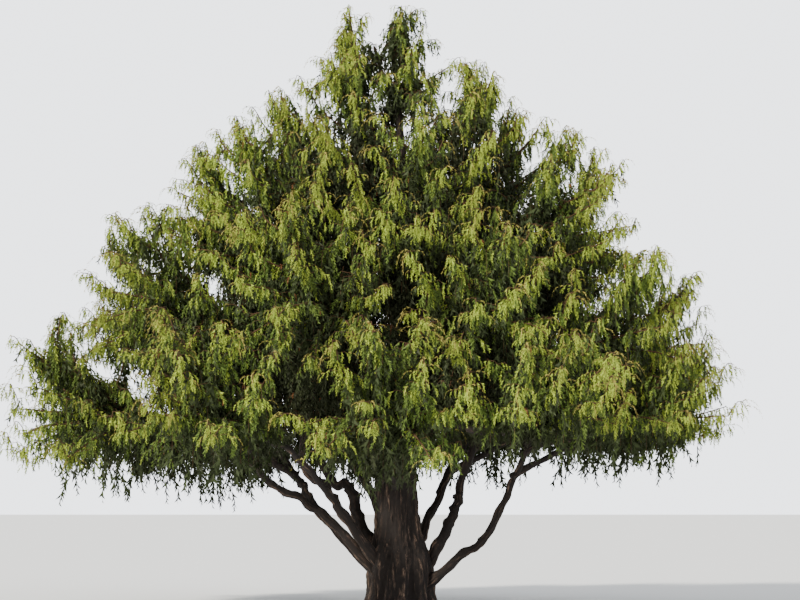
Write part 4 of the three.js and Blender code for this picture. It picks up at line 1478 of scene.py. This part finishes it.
# %% Tree that hangs sprays
def hanging_sprays():
    inputs = [
        ("Sprays", "Collection"),
        ("Kinds", "Int"),
        ("Spacing", "Float"),
        ("Least Light", "Float"),
        ("Most Light", "Float"),
        ("Light Chance", "Float"),
        ("Share", "Float"),
        ("Turn", "Float"),
        ("Tilt", "Float"),
        ("Least Size", "Float"),
        ("Most Size", "Float"),
        ("Seed", "Int"),
        ("Material", "Material"),
    ]
    tree, given = new_tree("hanging sprays", inputs)
    lines = wire(tree, "GeometryNodeMeshToCurve", {"Mesh": given["Geometry"]})
    feeds = {"Curve": lines, "Length": given["Spacing"]}
    points = wire(tree, "GeometryNodeCurveToPoints", feeds, "Points", mode="LENGTH")
    number = wire(tree, "GeometryNodeInputIndex", {}, 0)

    def random(low, high, salt, kind="FLOAT"):
        """A random value for each spray. Every use has a salt of its own, so that no two go together."""
        seed = math_node(tree, "ADD", given["Seed"], salt)
        feeds = {"Min": low, "Max": high, "ID": number, "Seed": seed}
        return wire(tree, "FunctionNodeRandomValue", feeds, "Value", data_type=kind)

    def compare(operation, a, b):
        feeds = {"A": a, "B": b}
        return wire(tree, "FunctionNodeCompare", feeds, data_type="FLOAT", operation=operation)

    def both(a, b):
        return wire(tree, "FunctionNodeBooleanMath", {0: a, 1: b}, operation="AND")

    less = math_node(tree, "MULTIPLY", given["Light Chance"], -1.0)
    light = math_node(tree, "ADD", attribute(tree, "light"), random(less, given["Light Chance"], 0.0))
    window = both(
        compare("GREATER_EQUAL", light, given["Least Light"]),
        compare("LESS_THAN", light, given["Most Light"]),
    )
    kept = both(window, compare("LESS_THAN", random(0.0, 1.0, 7.0), given["Share"]))
    strayed = random(math_node(tree, "MULTIPLY", given["Turn"], -1.0), given["Turn"], 1.0)
    turn = math_node(tree, "ADD", attribute(tree, "yaw"), strayed)
    back = math_node(tree, "MULTIPLY", given["Tilt"], -1.0)
    tilts = [random(back, given["Tilt"], salt) for salt in (2.0, 3.0)]
    euler = wire(tree, "ShaderNodeCombineXYZ", {"X": tilts[0], "Y": tilts[1], "Z": turn})
    rotation = wire(tree, "FunctionNodeEulerToRotation", {"Euler": euler})
    drawn = random(given["Least Size"], given["Most Size"], 4.0)
    size = math_node(tree, "MULTIPLY", attribute(tree, "size"), drawn)
    feeds = {"Collection": given["Sprays"], "Separate Children": True}
    kinds = wire(tree, "GeometryNodeCollectionInfo", feeds)
    top = math_node(tree, "SUBTRACT", given["Kinds"], 1.0)
    feeds = {
        "Points": points,
        "Selection": kept,
        "Instance": kinds,
        "Pick Instance": True,
        "Instance Index": random(0, top, 5.0, "INT"),
        "Rotation": rotation,
        "Scale": size,
    }
    hung = wire(tree, "GeometryNodeInstanceOnPoints", feeds)
    finish_tree(tree, hung, given["Material"])
    return tree


# %% Tree that makes twigs
def twig_tubes():
    inputs = [("Sides", "Int"), ("Material", "Material")]
    tree, given = new_tree("twig tubes", inputs)
    lines = wire(tree, "GeometryNodeMeshToCurve", {"Mesh": given["Geometry"]})
    ring = wire(tree, "GeometryNodeCurvePrimitiveCircle", {"Resolution": given["Sides"], "Radius": 1.0})
    feeds = {"Curve": lines, "Profile Curve": ring, "Scale": attribute(tree, "girth"), "Fill Caps": True}
    tubes = wire(tree, "GeometryNodeCurveToMesh", feeds)
    finish_tree(tree, tubes, given["Material"])
    return tree


# %% Dress the crown
SHADED = {"Sprays": INNER_SPRAYS, "Kinds": 2, "Share": 0.78, "Least Size": 1.15, "Most Size": 1.65}
# each kind takes the sprays whose painted light falls in its window, from painted shade to painted sunlight
KINDS = {
    "inner": {**SHADED, "Least Light": -9.0, "Most Light": 0.12},
    "deep": {**SHADED, "Least Light": 0.12, "Most Light": 0.36},
    "mid": {"Least Light": 0.36, "Most Light": 0.6, "Least Size": 0.85, "Most Size": 1.2},
    "light": {"Least Light": 0.6, "Most Light": 9.0, "Least Size": 0.8, "Most Size": 1.15},
}
PLAIN = {
    "Sprays": SPRAYS,
    "Kinds": 4,
    "Least Light": -9.0,
    "Most Light": 9.0,
    "Light Chance": 0.16,
    "Share": 1.0,
    "Turn": 1.2,
    "Tilt": 0.25,
}
ON_SHOOTS = {"Spacing": 0.06}
ON_BRANCHLETS = {"Spacing": 0.12, "Turn": 3.0}
NODDING = {
    "Sprays": NODS,
    "Kinds": 2,
    "Spacing": 0.06,
    "Least Light": 0.98,
    "Turn": 0.5,
    "Least Size": 0.7,
    "Most Size": 1.2,
}
DEAD = {"Spacing": 0.05, "Most Light": 0.7, "Share": 0.008, "Least Size": 0.6, "Most Size": 0.9}
SEEDS = {"held": 0, "golden": 30, "rusty": 40, "hung": 60}  # of the low tier, with one more for each tier
BRANCH_SIDES = 5
TWIG_SIDES = 3
tree_of_sprays = hanging_sprays()
tree_of_twigs = twig_tubes()


def joined(name, pieces):
    """One plain mesh object from several of the same kind."""
    first = pieces[0]
    both = bmesh.new()
    for piece in pieces:
        both.from_mesh(piece.data)
    both.to_mesh(first.data)
    both.free()
    for piece in pieces[1:]:
        bpy.data.objects.remove(piece)
    first.name = first.data.name = name
    return first


def sprays_on(lines, name, kind, seed, *values):
    """Sprays of one kind along lines, with the values for them where they aren't the plain ones."""
    given = dict(PLAIN)
    for more in values:
        given.update(more)
    given.update({"Seed": seed, "Material": needles[kind]})
    return run_tree(lines.mesh("lines"), tree_of_sprays, name, given)


def wood_on(lines, name, sides):
    values = {"Sides": sides, "Material": twig_bark}
    return run_tree(lines.mesh("wood"), tree_of_twigs, name, values)


for number, (tier, growth) in enumerate(grown.items()):
    shown = ("high", "top") if tier == "top" else (tier,)
    nodes = [f"foliage_{mass.name}" for mass in masses if mass.tier["name"] in shown]
    seeds = {use: seed + number for use, seed in SEEDS.items()}
    settle(wood_on(growth.wood, f"branches_{tier}", BRANCH_SIDES), nodes)
    settle(wood_on(growth.twigs, f"twigs_{tier}", TWIG_SIDES), nodes)
    for kind, window in KINDS.items():
        held = sprays_on(growth.leafy, "held", kind, seeds["held"], window, ON_SHOOTS)
        hung = sprays_on(growth.hangers, "hung", kind, seeds["hung"], window, ON_BRANCHLETS)
        settle(joined(f"sprays_{kind}_{tier}", [held, hung]), nodes)
    golden = sprays_on(growth.nods, f"tips_golden_{tier}", "golden", seeds["golden"], NODDING)
    settle(golden, nodes)
    rusty = sprays_on(growth.leafy, f"sprays_rusty_{tier}", "rusty", seeds["rusty"], DEAD)
    settle(rusty, nodes)

total = sum(len(p.vertices) - 2 for o in bpy.data.objects if o.get("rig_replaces") for p in o.data.polygons)
print("triangles in all:", total)

# %% [markdown]
# ## Stage and light
#
# A plain pale floor and a pale sky keep the eye on the tree. The key light is a slightly soft one from half
# high at the front left, strong enough that the sprays it reaches stand out from the dark inside of the
# crown. The fill light is wide, soft and weak, and comes from the other side.

# %% Floor, sky and lights
FLOOR_SIZE = 900.0
FLOOR_COLOUR = (0.9, 0.9, 0.89, 1)
SKY_COLOUR = (0.88, 0.91, 0.95, 1)
SKY_STRENGTHS = (0.95, 3.4)  # as a light on the tree, and as the camera sees it


def new_floor():
    half = FLOOR_SIZE / 2
    corners = [(-half, -half, 0), (half, -half, 0), (half, half, 0), (-half, half, 0)]
    mesh = mesh_of("floor", corners, faces=[(0, 1, 2, 3)])
    material, _, shader = principled("floor", 0.95)
    shader.inputs["Base Color"].default_value = FLOOR_COLOUR
    mesh.materials.append(material)
    floor = bpy.data.objects.new("floor", mesh)
    bpy.context.scene.collection.objects.link(floor)


def new_sun(name, strength, softness, azimuth, elevation, colour):
    """A soft light from a direction: azimuth 0 is from the viewer, and positive is from the right."""
    data = bpy.data.lights.new(name, "SUN")
    data.energy = strength
    data.angle = math.radians(softness)
    data.color = colour
    sun = bpy.data.objects.new(name, data)
    sun.rotation_euler = (math.radians(90 - elevation), 0, math.radians(azimuth))
    bpy.context.scene.collection.objects.link(sun)


def new_sky():
    world = bpy.data.worlds.new("sky")
    world.use_nodes = True
    background = world.node_tree.nodes["Background"]
    background.inputs["Color"].default_value = SKY_COLOUR
    seen = wire(world.node_tree, "ShaderNodeLightPath", {}, "Is Camera Ray")
    bright = spread_of(world.node_tree, seen, 0.0, 1.0, *SKY_STRENGTHS)
    world.node_tree.links.new(bright, background.inputs["Strength"])
    bpy.context.scene.world = world


new_floor()
new_sky()
new_sun("key", strength=6.0, softness=6, azimuth=-40, elevation=33, colour=(1.0, 0.96, 0.86))
new_sun("fill", strength=0.8, softness=40, azimuth=50, elevation=25, colour=(0.9, 0.95, 1.0))

# %% [markdown]
# ## The size
#
# The dressed tree has to fill the same box as the imported one, so its twigs are kept inside that box as
# they grow.
